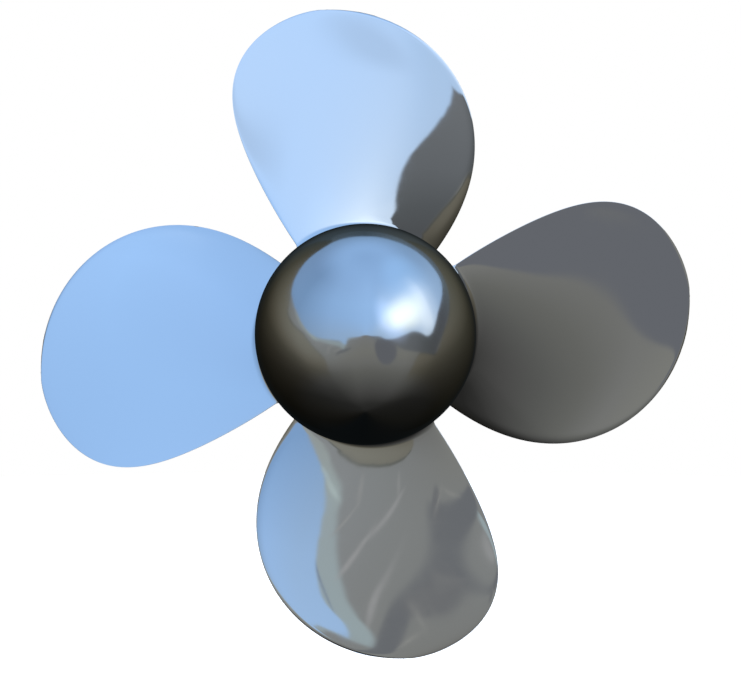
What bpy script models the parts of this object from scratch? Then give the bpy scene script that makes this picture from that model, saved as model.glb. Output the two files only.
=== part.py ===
"""Four-bladed fixed-pitch ship propeller with its boss cap, nut, seals and screws.

The shaft axis is the Y axis. Forward, towards the ship, is +Y and the nose of the cap points along -Y.
The origin is on the shaft axis in the plane of the boss's forward end face, and +Z is up.
Angles run clockwise from +Z as seen from aft, so the turning sense of a right-handed propeller is positive.
"""

import math

import bmesh
import bpy
from mathutils import Matrix, Vector

# Driving dimensions of the blades, in metres, with edge angles in degrees
PROPELLER_DIAMETER = 2.4
BLADE_COUNT = 4
ROOT_PITCH = 1.8
TIP_PITCH = 2.1
# Angles of the blade's edges from its own centre line, from the boss to the tip, as Bezier controls
TRAILING_EDGE = (-37.9, -36.0, -30.4, -34.6, -14.6, -8.3)
LEADING_EDGE = (40.5, 38.3, 31.4, 18.0, 4.6, -8.3)
# How far the blade leans forward of the disc plane, from the boss to the tip, as Bezier controls
RAKE = (0.0, 0.013, 0.036, 0.055)
# Curvature of the aft face across the blade, per metre: full at the root, hollow at the tip
ROOT_FACE_CURVATURE = 0.66
TIP_FACE_CURVATURE = -0.52
ROOT_THICKNESS = 0.075
TIP_THICKNESS = 0.010
ROOT_EDGE_THICKNESS = 0.022
TIP_EDGE_THICKNESS = 0.006
ROOT_FILLET = 0.035
ROOT_FILLET_AT_EDGE = 0.022
# The power of the span at which the blade thins to nothing: high, so only close to its tip
TIP_FADE_POWER = 8

# Driving dimensions of the boss
BOSS_RADIUS = 0.385
BOSS_ROUND = 0.025
# Lengths of plain boss left forward and aft of the blade roots
BOSS_FORWARD_MARGIN = 0.0485
BOSS_AFT_MARGIN = 0.047
BORE_FORWARD_RADIUS = 0.125
BORE_AFT_RADIUS = 0.104
SPIGOT_LENGTH = 0.05
SPIGOT_WALL = 0.045

# Driving dimensions of the cap
CAP_RIM = 0.032
CAP_SKIRT = 0.08
CAP_WALL = 0.044
DOME_LENGTH = 0.42
DOME_POINT = 0.08
GASKET_THICKNESS = 0.003

# Driving dimensions of the nut and its lock plate
NUT_FLAT_RADIUS = 0.17
NUT_HEIGHT = 0.14
NUT_BORE_RADIUS = 0.09
NUT_CHAMFER = 0.012
LOCK_PLATE_WIDTH = 0.11
LOCK_PLATE_REACH = 0.065
LOCK_PLATE_THICKNESS = 0.024
LOCK_SCREW_SPACING = 0.06

# Driving dimensions of the forward seal and the gland ring that holds it
SEAL_SECTION = 0.02
SEAL_LENGTH = 0.03
GLAND_POCKET_RADIUS = 0.205
GLAND_THICKNESS = 0.026
GLAND_RECESS = 0.016
GLAND_SCREW_CIRCLE = 0.175

# Screws and plugs: shank radius, shank length, head radius, head height, socket radius, socket depth
CAP_SCREW = (0.008, 0.044, 0.0125, 0.016, 0.007, 0.008)
GLAND_SCREW = (0.006, 0.046, 0.0105, 0.010, 0.0, 0.0)
LOCK_SCREW = (0.008, 0.050, 0.0135, 0.011, 0.0, 0.0)
BOSS_PLUG = (0.016, 0.020, 0.018, 0.012, 0.009, 0.009)
CAP_PLUG = (0.010, 0.016, 0.0115, 0.009, 0.006, 0.006)
CAP_SCREW_COUNT = 8
GLAND_SCREW_COUNT = 8
CAP_PLUG_COUNT = 2
SCREW_RECESS = 0.0015
SCREW_POINT_CLEARANCE = 0.004
HOLE_CLEARANCE = 0.0005

# Gap left between pieces that seat on each other
SEAT_GAP = 0.0003

# Fineness of the meshes
RING_SEGMENTS = 48
CHORD_STEPS = 12
FILLET_STEPS = 4
SPAN_STEPS = 11
BOSS_END_STEPS = 2
ROUND_STEPS = 3
DOME_STEPS = 9
INNER_DOME_STEPS = 6
SCREW_SEGMENTS = 12
WELD_DISTANCE = 0.00002
SHARP_ANGLE = math.radians(35)

# Sizes that follow from the driving dimensions
TIP_RADIUS = PROPELLER_DIAMETER / 2
BLADE_PITCH_ANGLE = 2 * math.pi / BLADE_COUNT
SPIGOT_RADIUS = BOSS_RADIUS - CAP_RIM
SPIGOT_BORE = SPIGOT_RADIUS - SPIGOT_WALL
CAP_INNER_RADIUS = BOSS_RADIUS - CAP_WALL
GLAND_FACE = -GLAND_RECESS
GLAND_SEAT = GLAND_FACE - GLAND_THICKNESS
SEAL_POCKET_RADIUS = BORE_FORWARD_RADIUS + SEAL_SECTION
SEAL_POCKET_END = GLAND_SEAT - SEAL_LENGTH - SEAT_GAP


def clear_scene():
    """Removes the objects that the scene starts with."""
    for obj in list(bpy.data.objects):
        bpy.data.objects.remove(obj)


def make_material(name, colour, roughness, metallic):
    """Returns a plain material for one sub-part."""
    material = bpy.data.materials.new(name)
    material.use_nodes = True
    shader = material.node_tree.nodes["Principled BSDF"]
    shader.inputs["Base Color"].default_value = (*colour, 1.0)
    shader.inputs["Roughness"].default_value = roughness
    shader.inputs["Metallic"].default_value = metallic
    return material


def polar_point(radius, angle, y):
    """Returns the point at a radius and a clockwise angle from +Z, in the plane at y."""
    return Vector((radius * math.sin(angle), y, radius * math.cos(angle)))


def mix(start, end, share):
    """Returns the value at a share of the way from start to end."""
    return start + (end - start) * share


def bezier(controls, share):
    """Returns the value of a Bezier polynomial over its control values."""
    degree = len(controls) - 1
    return sum(
        math.comb(degree, index) * (1 - share) ** (degree - index) * share**index * value
        for index, value in enumerate(controls)
    )


def span_share(radius):
    """Returns 0 at the boss and 1 at the tip, with even steps crowding towards the tip's radius."""
    reach = (radius - BOSS_RADIUS) / (TIP_RADIUS - BOSS_RADIUS)
    return 2 / math.pi * math.asin(min(1.0, max(0.0, reach)))


def span_radius(share):
    """Returns the radius at a share of the span, the inverse of span_share."""
    return BOSS_RADIUS + (TIP_RADIUS - BOSS_RADIUS) * math.sin(share * math.pi / 2)


def blade_lead(share):
    """Returns how far the blade advances along the shaft for each radian, at a share of the span."""
    return (TIP_PITCH - (TIP_PITCH - ROOT_PITCH) * (1 - share) ** 2) / (2 * math.pi)


def fillet_radius(turn):
    """Returns the root fillet's radius at a turn round the section: full on the flanks, smaller at the edges."""
    return mix(ROOT_FILLET_AT_EDGE, ROOT_FILLET, abs(math.sin(turn)))


def blade_angle_and_y(turn, radius, spread):
    """Returns the angle of a point on the blade's skin and its y, counted from the disc plane.

    turn goes once round the section: 0 at the leading edge, pi at the trailing edge, the back first.
    spread moves the point outwards from the section, for the fillet.
    """
    share = span_share(radius)
    trailing = math.radians(bezier(TRAILING_EDGE, share))
    leading = math.radians(bezier(LEADING_EDGE, share))
    chord_angle = mix(trailing, leading, (1 + math.cos(turn)) / 2)
    reach = (radius - BOSS_RADIUS) / (TIP_RADIUS - BOSS_RADIUS)
    tip_fade = math.sqrt(max(0.0, 1 - share**TIP_FADE_POWER))
    edge = mix(ROOT_EDGE_THICKNESS, TIP_EDGE_THICKNESS, reach) * tip_fade
    thickness = mix(ROOT_THICKNESS, TIP_THICKNESS, reach) * tip_fade
    normal = edge / 2 * math.sin(turn) + spread * math.sin(turn)
    if math.sin(turn) > 0:
        normal += (thickness - edge) * math.sin(turn) ** 2
    along = spread * math.cos(turn)
    lead = blade_lead(share)
    slope = math.atan2(lead, radius)
    across = radius * (chord_angle - (trailing + leading) / 2)
    bow = mix(ROOT_FACE_CURVATURE, TIP_FACE_CURVATURE, reach) / 2 * across**2
    arc = radius * chord_angle + along * math.cos(slope) - normal * math.sin(slope)
    y = lead * chord_angle + along * math.sin(slope) + normal * math.cos(slope)
    return arc / radius, y + bezier(RAKE, reach) + bow


def foot_angle_and_y(turn):
    """Returns the angle and y where the fillet runs out on the boss."""
    return blade_angle_and_y(turn, BOSS_RADIUS, fillet_radius(turn))


def foot_reach():
    """Returns the lowest and highest y that the foot of a blade reaches, counted from the disc plane."""
    reached = [foot_angle_and_y(math.pi * step / CHORD_STEPS)[1] for step in range(2 * CHORD_STEPS)]
    return min(reached), max(reached)


# Places along the shaft: the disc plane's distance from the forward face, then the joint with the cap
DISC_SETBACK = foot_reach()[1] + BOSS_FORWARD_MARGIN + BOSS_ROUND
BOSS_AFT = foot_reach()[0] - BOSS_AFT_MARGIN - DISC_SETBACK
SPIGOT_END = BOSS_AFT - SPIGOT_LENGTH
CAP_SHOULDER = SPIGOT_END - GASKET_THICKNESS - 2 * SEAT_GAP
DOME_BASE = BOSS_AFT - CAP_SKIRT


def wrap_grid(mesh, columns, rows, place):
    """Adds a grid of faces whose vertices are set by place(column, row)."""
    grid = bmesh.ops.create_grid(mesh, x_segments=columns, y_segments=rows, size=1.0)
    for vertex in grid["verts"]:
        column = round((vertex.co.x + 1) / 2 * columns)
        row = round((vertex.co.y + 1) / 2 * rows)
        vertex.co = place(column, row)


def add_blade_skin(mesh):
    """Adds one blade from the run-out of its fillet to its tip."""
    columns = 2 * CHORD_STEPS

    def place(column, row):
        turn = 2 * math.pi * (column % columns) / columns
        fillet = fillet_radius(turn)
        if row <= FILLET_STEPS:
            bend = math.pi / 2 * row / FILLET_STEPS
            radius = BOSS_RADIUS + fillet * (1 - math.cos(bend))
            spread = fillet * (1 - math.sin(bend))
        else:
            start = span_share(BOSS_RADIUS + fillet)
            radius = span_radius(mix(start, 1.0, (row - FILLET_STEPS) / SPAN_STEPS))
            spread = 0.0
        angle, y = blade_angle_and_y(turn, radius, spread)
        return polar_point(radius, angle, y - DISC_SETBACK)

    wrap_grid(mesh, columns, FILLET_STEPS + SPAN_STEPS, place)


def ring_angle(angle):
    """Returns the nearest angle at which a turned ring has a vertex."""
    step = 2 * math.pi / RING_SEGMENTS
    return round(angle / step) * step


class BossBand:
    """The strip of the boss that carries one blade and runs beside its root, from end to end.

    Its angles and y, counted from the disc plane, follow the blade's own.
    """

    def __init__(self):
        self.ends = (BOSS_AFT + DISC_SETBACK, DISC_SETBACK - BOSS_ROUND)
        self.feet = (foot_angle_and_y(math.pi), foot_angle_and_y(0.0))
        lead = blade_lead(0.0)
        slope = math.atan2(lead, BOSS_RADIUS)
        self.lead = lead
        self.offset = ROOT_THICKNESS / 2 / math.sin(slope) / BOSS_RADIUS
        self.end_angles = tuple(ring_angle(self.helix_angle(y)) for y in self.ends)

    def helix_angle(self, y):
        """Returns the angle of the blade's middle line, carried on along the boss, at y."""
        return y / self.lead - self.offset

    def middle_angle(self, y):
        """Returns the angle of the strip's middle, which meets a ring's vertex at each end of the boss."""
        angle = self.helix_angle(y)
        for end, foot, end_angle in zip(self.ends, self.feet, self.end_angles):
            share = (y - foot[1]) / (end - foot[1])
            if share > 0:
                angle += share * (end_angle - self.helix_angle(end))
        return angle

    def centre(self, row, side):
        """Returns the angle and y of the strip's inner edge at a row: the blade's foot, or a line past it."""
        if row < BOSS_END_STEPS:
            share = row / BOSS_END_STEPS
            angle = mix(self.end_angles[0], self.feet[0][0], share)
            return angle, mix(self.ends[0], self.feet[0][1], share)
        if row > BOSS_END_STEPS + CHORD_STEPS:
            share = (row - BOSS_END_STEPS - CHORD_STEPS) / BOSS_END_STEPS
            angle = mix(self.feet[1][0], self.end_angles[1], share)
            return angle, mix(self.feet[1][1], self.ends[1], share)
        step = row - BOSS_END_STEPS
        return foot_angle_and_y(side * math.pi * (CHORD_STEPS - step) / CHORD_STEPS)

    def border_y(self, row):
        """Returns the y of the strip's outer edge at a row."""
        if BOSS_END_STEPS <= row <= BOSS_END_STEPS + CHORD_STEPS:
            turn = math.pi * (BOSS_END_STEPS + CHORD_STEPS - row) / CHORD_STEPS
            return mix(self.feet[0][1], self.feet[1][1], (1 + math.cos(turn)) / 2)
        return self.centre(row, 1)[1]

    def add_side(self, mesh, side):
        """Adds the half of the strip on the blade's back (side 1) or face (side -1)."""
        columns = RING_SEGMENTS // (2 * BLADE_COUNT)

        def place(column, row):
            inner_angle, inner_y = self.centre(row, side)
            outer_y = self.border_y(row)
            outer_angle = self.middle_angle(outer_y) - side * BLADE_PITCH_ANGLE / 2
            share = column / columns
            angle = mix(inner_angle, outer_angle, share)
            return polar_point(BOSS_RADIUS, angle, mix(inner_y, outer_y, share) - DISC_SETBACK)

        wrap_grid(mesh, columns, 2 * BOSS_END_STEPS + CHORD_STEPS, place)


def boss_end_profile():
    """Returns the turned profile (radius, y) from the boss's forward corner, through the bore, to its aft edge."""
    profile = []
    for step in range(1, ROUND_STEPS + 1):
        bend = math.pi / 2 * step / ROUND_STEPS
        profile.append((BOSS_RADIUS - BOSS_ROUND * (1 - math.cos(bend)), BOSS_ROUND * (math.sin(bend) - 1)))
    profile += [
        (GLAND_POCKET_RADIUS, 0.0),
        (GLAND_POCKET_RADIUS, GLAND_SEAT - SEAT_GAP),
        (SEAL_POCKET_RADIUS, GLAND_SEAT - SEAT_GAP),
        (SEAL_POCKET_RADIUS, SEAL_POCKET_END),
        (BORE_FORWARD_RADIUS, SEAL_POCKET_END),
        (BORE_AFT_RADIUS, BOSS_AFT),
        (SPIGOT_BORE, BOSS_AFT),
        (SPIGOT_BORE, SPIGOT_END),
        (SPIGOT_RADIUS, SPIGOT_END),
        (SPIGOT_RADIUS, BOSS_AFT),
        (BOSS_RADIUS, BOSS_AFT),
    ]
    return profile


def extrude_profile(mesh, ring, profile):
    """Extrudes a ring of edges from point to point of a turned profile."""
    for radius, y in profile:
        extruded = bmesh.ops.extrude_edge_only(mesh, edges=ring)["geom"]
        ring = [item for item in extruded if isinstance(item, bmesh.types.BMEdge)]
        for vertex in {vertex for edge in ring for vertex in edge.verts}:
            direction = Vector((vertex.co.x, 0.0, vertex.co.z)).normalized()
            vertex.co = direction * radius + Vector((0.0, y, 0.0))


def finish_mesh(name, mesh, material):
    """Closes a bmesh's seams, turns its faces outwards and returns it as a named object."""
    bmesh.ops.remove_doubles(mesh, verts=mesh.verts, dist=WELD_DISTANCE)
    bmesh.ops.recalc_face_normals(mesh, faces=mesh.faces)
    data = bpy.data.meshes.new(name)
    mesh.to_mesh(data)
    mesh.free()
    data.shade_smooth()
    data.set_sharp_from_angle(angle=SHARP_ANGLE)
    return place_mesh(name, data, material)


def place_mesh(name, data, material, matrix=None):
    """Returns a new object that shows a mesh, at a matrix."""
    obj = bpy.data.objects.new(name, data)
    if material and not data.materials:
        data.materials.append(material)
    if matrix:
        obj.matrix_world = matrix
    bpy.context.scene.collection.objects.link(obj)
    return obj


def turned(mesh, profile, segments, closed):
    """Spins a profile of (radius, y) points once round the Y axis."""
    vertices = [mesh.verts.new((0.0, y, radius)) for radius, y in profile]
    edges = [mesh.edges.new(pair) for pair in zip(vertices, vertices[1:])]
    if closed:
        edges.append(mesh.edges.new((vertices[-1], vertices[0])))
    bmesh.ops.spin(
        mesh,
        geom=vertices + edges,
        cent=(0.0, 0.0, 0.0),
        axis=(0.0, 1.0, 0.0),
        dvec=(0.0, 0.0, 0.0),
        angle=2 * math.pi,
        steps=segments,
        use_merge=True,
    )


def turned_object(name, profile, material, closed=True, segments=RING_SEGMENTS):
    """Returns a turned sub-part."""
    mesh = bmesh.new()
    turned(mesh, profile, segments, closed)
    return finish_mesh(name, mesh, material)


def screw_mesh(name, sizes, hexagonal):
    """Returns the mesh of a screw or plug whose seat is at y = 0 and whose head points along +Y."""
    shank, length, head, height, socket, depth = sizes
    profile = [(0.0, -length), (shank, -length), (shank, 0.0), (head, 0.0), (head, height)]
    if socket:
        profile += [(socket, height), (socket, height - depth), (0.0, height - depth)]
    else:
        profile += [(0.0, height)]
    mesh = bmesh.new()
    turned(mesh, profile, SCREW_SEGMENTS, closed=False)
    bmesh.ops.remove_doubles(mesh, verts=mesh.verts, dist=WELD_DISTANCE)
    if hexagonal:
        flatten_to_hexagon(mesh, shank, SCREW_SEGMENTS, flat_angle=math.pi / 6)
    bmesh.ops.recalc_face_normals(mesh, faces=mesh.faces)
    data = bpy.data.meshes.new(name)
    mesh.to_mesh(data)
    mesh.free()
    data.shade_smooth()
    data.set_sharp_from_angle(angle=SHARP_ANGLE)
    return data


def flatten_to_hexagon(mesh, inner_limit, segments, flat_angle):
    """Pulls the points beyond a radius in to six flats, one of them at flat_angle."""
    step = 2 * math.pi / segments
    for vertex in mesh.verts:
        radius = math.hypot(vertex.co.x, vertex.co.z)
        if radius < inner_limit + SEAT_GAP:
            continue
        angle = round(math.atan2(vertex.co.x, vertex.co.z) / step) * step
        from_flat = (angle - flat_angle + math.pi / 6) % (math.pi / 3) - math.pi / 6
        factor = math.cos(math.pi / 6) / math.cos(from_flat)
        vertex.co.x *= factor
        vertex.co.z *= factor


def cutter(name, sites, profile):
    """Returns one hidden cutter made of a turned body at each site's matrix."""
    mesh = bmesh.new()
    for matrix in sites:
        one = bmesh.new()
        turned(one, profile, SCREW_SEGMENTS, closed=False)
        bmesh.ops.remove_doubles(one, verts=one.verts, dist=WELD_DISTANCE)
        bmesh.ops.recalc_face_normals(one, faces=one.faces)
        one.transform(matrix)
        piece = bpy.data.meshes.new(name)
        one.to_mesh(piece)
        one.free()
        mesh.from_mesh(piece)
        bpy.data.meshes.remove(piece)
    data = bpy.data.meshes.new(name)
    mesh.to_mesh(data)
    mesh.free()
    obj = place_mesh(name, data, None)
    obj.hide_render = True
    obj.display_type = "WIRE"
    return obj


def cut(target, name, sites, profile):
    """Cuts a hole of a turned profile into a target at each site."""
    boolean = target.modifiers.new(name, "BOOLEAN")
    boolean.operation = "DIFFERENCE"
    boolean.solver = "EXACT"
    boolean.object = cutter(name, sites, profile)


def radial_site(radius, angle, y):
    """Returns the matrix of a radial screw: its head outwards, its seat at a radius."""
    outward = polar_point(1.0, angle, 0.0)
    axes = Matrix((outward.cross(Vector((0.0, 1.0, 0.0))), outward, Vector((0.0, 1.0, 0.0)))).transposed()
    return Matrix.Translation(polar_point(radius, angle, y)) @ axes.to_4x4()


def axial_site(x, y, z, forward):
    """Returns the matrix of a screw along the shaft, its head towards forward or aft."""
    turn = Matrix.Identity(4) if forward else Matrix.Rotation(math.pi, 4, "Z")
    return Matrix.Translation(Vector((x, y, z))) @ turn


def cap_screw_sites():
    """Returns the matrices of the radial screws that hold the cap on its spigot."""
    seat = BOSS_RADIUS - SCREW_RECESS - CAP_SCREW[3]
    y = (BOSS_AFT + SPIGOT_END) / 2
    return [
        radial_site(seat, 2 * math.pi * index / CAP_SCREW_COUNT, y) for index in range(CAP_SCREW_COUNT)
    ]


def cap_plug_sites():
    """Returns the matrices of the filling and vent plugs in the cap's skirt."""
    seat = BOSS_RADIUS - SCREW_RECESS - CAP_PLUG[3]
    first = math.pi / CAP_SCREW_COUNT
    return [
        radial_site(seat, first + 2 * math.pi * index / CAP_PLUG_COUNT, DOME_BASE + CAP_PLUG[2])
        for index in range(CAP_PLUG_COUNT)
    ]


def gland_screw_sites():
    """Returns the matrices of the screws that hold the gland ring."""
    sites = []
    for index in range(GLAND_SCREW_COUNT):
        centre = polar_point(GLAND_SCREW_CIRCLE, 2 * math.pi * index / GLAND_SCREW_COUNT, GLAND_FACE + SEAT_GAP)
        sites.append(axial_site(*centre, forward=True))
    return sites


def lock_screw_sites():
    """Returns the matrices of the screws that hold the nut's lock plate."""
    y = BOSS_AFT - SEAT_GAP - LOCK_PLATE_THICKNESS - SEAT_GAP
    z = NUT_FLAT_RADIUS + SEAT_GAP + LOCK_PLATE_REACH / 2
    return [axial_site(side * LOCK_SCREW_SPACING / 2, y, z, forward=False) for side in (-1, 1)]


def boss_plug_sites():
    """Returns the matrices of the plugs in the boss, midway between neighbouring blades."""
    seat = BOSS_RADIUS - SCREW_RECESS - BOSS_PLUG[3]
    first = BossBand().middle_angle(0.0) + BLADE_PITCH_ANGLE / 2
    return [
        radial_site(seat, first + BLADE_PITCH_ANGLE * index, -DISC_SETBACK) for index in range(BLADE_COUNT)
    ]


def plain_hole(sizes, depth=None):
    """Returns the profile of a hole that clears a screw's shank, from past its point to past its seat."""
    radius = sizes[0] + HOLE_CLEARANCE
    low = -(depth or sizes[1] + SCREW_POINT_CLEARANCE)
    return [(0.0, low), (radius, low), (radius, sizes[3]), (0.0, sizes[3])]


def sunk_hole(sizes, depth=None):
    """Returns the profile of a hole with a counterbore that clears a sunk head."""
    hole = plain_hole(sizes, depth)
    wide = sizes[2] + HOLE_CLEARANCE
    top = 2 * sizes[3]
    return [*hole[:2], (hole[1][0], -SEAT_GAP), (wide, -SEAT_GAP), (wide, top), (0.0, top)]


def build_casting(material):
    """Builds the boss and its blades, one casting."""
    mesh = bmesh.new()
    add_blade_skin(mesh)
    band = BossBand()
    band.add_side(mesh, 1)
    band.add_side(mesh, -1)
    quarter = list(mesh.verts) + list(mesh.edges) + list(mesh.faces)
    for index in range(1, BLADE_COUNT):
        copy = bmesh.ops.duplicate(mesh, geom=quarter)["geom"]
        vertices = [item for item in copy if isinstance(item, bmesh.types.BMVert)]
        turn = Matrix.Rotation(BLADE_PITCH_ANGLE * index, 3, "Y")
        bmesh.ops.rotate(mesh, cent=(0.0, 0.0, 0.0), matrix=turn, verts=vertices)
    bmesh.ops.remove_doubles(mesh, verts=mesh.verts, dist=WELD_DISTANCE)
    middle = (BOSS_AFT - BOSS_ROUND) / 2
    forward = [edge for edge in mesh.edges if edge.is_boundary and edge.verts[0].co.y > middle]
    extrude_profile(mesh, forward, boss_end_profile())
    casting = finish_mesh("propeller_casting", mesh, material)
    cut(casting, "boss_plug_holes", boss_plug_sites(), sunk_hole(BOSS_PLUG))
    cut(casting, "cap_screw_holes", cap_screw_sites(), plain_hole(CAP_SCREW))
    cut(casting, "gland_screw_holes", gland_screw_sites(), plain_hole(GLAND_SCREW))
    cut(casting, "lock_screw_holes", lock_screw_sites(), plain_hole(LOCK_SCREW))


def dome_profile(radius, length, base_y, steps):
    """Returns the profile of a slightly pointed dome, from its base to its nose on the axis."""
    end = math.acos(DOME_POINT / (1 + DOME_POINT))
    stretch = length / math.sqrt(1 + 2 * DOME_POINT)
    profile = []
    for step in range(steps + 1):
        bend = end * step / steps
        across = radius * ((1 + DOME_POINT) * math.cos(bend) - DOME_POINT)
        profile.append((max(0.0, across), base_y - stretch * (1 + DOME_POINT) * math.sin(bend)))
    profile[-1] = (0.0, base_y - length)
    return profile


def build_cap(material):
    """Builds the hollow cap that closes the boss and covers the nut."""
    inner = dome_profile(CAP_INNER_RADIUS, DOME_LENGTH - CAP_WALL, DOME_BASE, INNER_DOME_STEPS)
    joint = BOSS_AFT - SEAT_GAP
    profile = [
        *reversed(inner),
        (CAP_INNER_RADIUS, CAP_SHOULDER),
        (SPIGOT_RADIUS + SEAT_GAP, CAP_SHOULDER),
        (SPIGOT_RADIUS + SEAT_GAP, joint),
        (BOSS_RADIUS, joint),
        *dome_profile(BOSS_RADIUS, DOME_LENGTH, DOME_BASE, DOME_STEPS),
    ]
    cap = turned_object("boss_cap", profile, material, closed=False)
    cut(cap, "cap_screw_clearances", cap_screw_sites(), sunk_hole(CAP_SCREW))
    cut(cap, "cap_plug_holes", cap_plug_sites(), sunk_hole(CAP_PLUG, depth=CAP_WALL))


def build_gasket(material):
    """Builds the flat gasket between the spigot and the cap's shoulder."""
    low = SPIGOT_END - SEAT_GAP - GASKET_THICKNESS
    high = SPIGOT_END - SEAT_GAP
    profile = [(CAP_INNER_RADIUS, low), (SPIGOT_RADIUS, low), (SPIGOT_RADIUS, high), (CAP_INNER_RADIUS, high)]
    turned_object("cap_gasket", profile, material)


def build_nut(material):
    """Builds the hexagonal nut that draws the boss up its tapered bore."""
    seat = BOSS_AFT - SEAT_GAP
    end = seat - NUT_HEIGHT
    corner = NUT_FLAT_RADIUS / math.cos(math.pi / 6)
    profile = [
        (NUT_BORE_RADIUS, seat),
        (corner - NUT_CHAMFER, seat),
        (corner, seat - NUT_CHAMFER),
        (corner, end + NUT_CHAMFER),
        (corner - NUT_CHAMFER, end),
        (NUT_BORE_RADIUS, end),
    ]
    mesh = bmesh.new()
    turned(mesh, profile, RING_SEGMENTS, closed=True)
    bmesh.ops.remove_doubles(mesh, verts=mesh.verts, dist=WELD_DISTANCE)
    flatten_to_hexagon(mesh, NUT_BORE_RADIUS, RING_SEGMENTS, flat_angle=0.0)
    finish_mesh("propeller_nut", mesh, material)


def build_lock_plate(material):
    """Builds the plate that stops the nut from turning, against its top flat."""
    mesh = bmesh.new()
    thickness = LOCK_PLATE_THICKNESS
    size = Matrix.Diagonal((LOCK_PLATE_WIDTH, thickness, LOCK_PLATE_REACH, 1.0))
    y = BOSS_AFT - SEAT_GAP - thickness / 2
    z = NUT_FLAT_RADIUS + SEAT_GAP + LOCK_PLATE_REACH / 2
    bmesh.ops.create_cube(mesh, size=1.0, matrix=Matrix.Translation((0.0, y, z)) @ size)
    plate = finish_mesh("nut_lock_plate", mesh, material)
    cut(plate, "lock_screw_clearances", lock_screw_sites(), plain_hole(LOCK_SCREW))


def build_forward_seal(rubber, steel):
    """Builds the seal round the shaft and the gland ring that presses it in."""
    low = SEAL_POCKET_END + SEAT_GAP
    high = GLAND_SEAT - 2 * SEAT_GAP
    inner = BORE_FORWARD_RADIUS
    outer = SEAL_POCKET_RADIUS - SEAT_GAP
    turned_object("forward_seal", [(inner, low), (outer, low), (outer, high), (inner, high)], rubber)
    low = GLAND_SEAT
    high = GLAND_FACE
    outer = GLAND_POCKET_RADIUS - SEAT_GAP
    ring = turned_object("gland_ring", [(inner, low), (outer, low), (outer, high), (inner, high)], steel)
    cut(ring, "gland_screw_clearances", gland_screw_sites(), plain_hole(GLAND_SCREW))


def build_screws(name, sites, sizes, hexagonal, material):
    """Builds one object for each screw or plug of a kind, all sharing a mesh."""
    data = screw_mesh(name, sizes, hexagonal)
    for index, matrix in enumerate(sites, start=1):
        place_mesh(f"{name}_{index}", data, material, matrix)


def main():
    """Builds every sub-part."""
    clear_scene()
    polished = make_material("polished_steel", (0.78, 0.79, 0.80), 0.05, 1.0)
    machined = make_material("machined_steel", (0.62, 0.63, 0.64), 0.28, 1.0)
    screw_steel = make_material("screw_steel", (0.45, 0.46, 0.48), 0.32, 1.0)
    rubber = make_material("seal_rubber", (0.03, 0.03, 0.032), 0.7, 0.0)
    build_casting(polished)
    build_cap(polished)
    build_gasket(rubber)
    build_nut(machined)
    build_lock_plate(machined)
    build_forward_seal(rubber, machined)
    build_screws("cap_screw", cap_screw_sites(), CAP_SCREW, False, screw_steel)
    build_screws("cap_plug", cap_plug_sites(), CAP_PLUG, False, screw_steel)
    build_screws("gland_screw", gland_screw_sites(), GLAND_SCREW, True, screw_steel)
    build_screws("lock_screw", lock_screw_sites(), LOCK_SCREW, True, screw_steel)
    build_screws("boss_plug", boss_plug_sites(), BOSS_PLUG, False, screw_steel)


main()
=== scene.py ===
"""Looks of a right-handed, four-bladed ship propeller, seen from aft along its shaft.

The frame is the model's own, in metres: the shaft axis is the Y axis, forward is +Y, the nose of the
cap points along -Y and +Z is up. Angles run clockwise from +Z as seen from aft. Places along the shaft
and most radii are read from the model's boxes, and the blades follow the same formulas as its blades.
"""

import logging
import math
from collections.abc import Callable
from dataclasses import dataclass, field
from enum import Enum

import bmesh
import bpy
from mathutils import Matrix, Vector


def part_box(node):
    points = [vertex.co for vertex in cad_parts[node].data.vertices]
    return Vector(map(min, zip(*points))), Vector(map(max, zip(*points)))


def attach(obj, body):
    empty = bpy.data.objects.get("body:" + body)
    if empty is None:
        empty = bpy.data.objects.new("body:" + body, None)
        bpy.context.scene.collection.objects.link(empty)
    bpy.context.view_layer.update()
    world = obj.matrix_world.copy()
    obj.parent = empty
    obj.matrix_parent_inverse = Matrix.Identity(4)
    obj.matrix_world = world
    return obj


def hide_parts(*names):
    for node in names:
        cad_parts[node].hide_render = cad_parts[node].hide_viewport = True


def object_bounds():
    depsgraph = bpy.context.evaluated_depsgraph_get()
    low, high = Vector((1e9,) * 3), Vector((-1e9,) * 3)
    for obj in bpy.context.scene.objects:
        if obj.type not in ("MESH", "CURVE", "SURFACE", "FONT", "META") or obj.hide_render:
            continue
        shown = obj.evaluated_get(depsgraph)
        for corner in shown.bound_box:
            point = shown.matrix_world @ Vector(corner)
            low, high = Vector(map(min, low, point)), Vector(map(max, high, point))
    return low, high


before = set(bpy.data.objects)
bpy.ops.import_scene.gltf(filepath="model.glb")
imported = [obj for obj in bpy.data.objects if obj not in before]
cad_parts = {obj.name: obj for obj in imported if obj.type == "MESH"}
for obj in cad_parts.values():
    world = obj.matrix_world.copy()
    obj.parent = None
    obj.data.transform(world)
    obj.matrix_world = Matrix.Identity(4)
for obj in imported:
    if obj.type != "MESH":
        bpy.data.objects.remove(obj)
cad_low, cad_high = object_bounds()

BODY = "root"
WELD = 0.00002
SHARP = math.radians(32)
# Edges sharper than this are eased, with this many faces across the round
KEEN = math.radians(50)
EASE_STEPS = 2
# How near a radius a point has to be to lie on that round surface
ON_SURFACE = 0.0001
# The least cosine between a face and the surface that it is part of
SAME_WAY = 0.95
FULL_TURN = 2 * math.pi
SHAFT = Vector((0.0, 1.0, 0.0))
HEX_STEP = math.pi / 3
# Slope of the chamfer on a hexagon's corners
CORNER_SLOPE = math.tan(math.radians(30))
# Radians that the wave texture runs through in each unit of its coordinate
WAVE_RATE = 20

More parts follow.
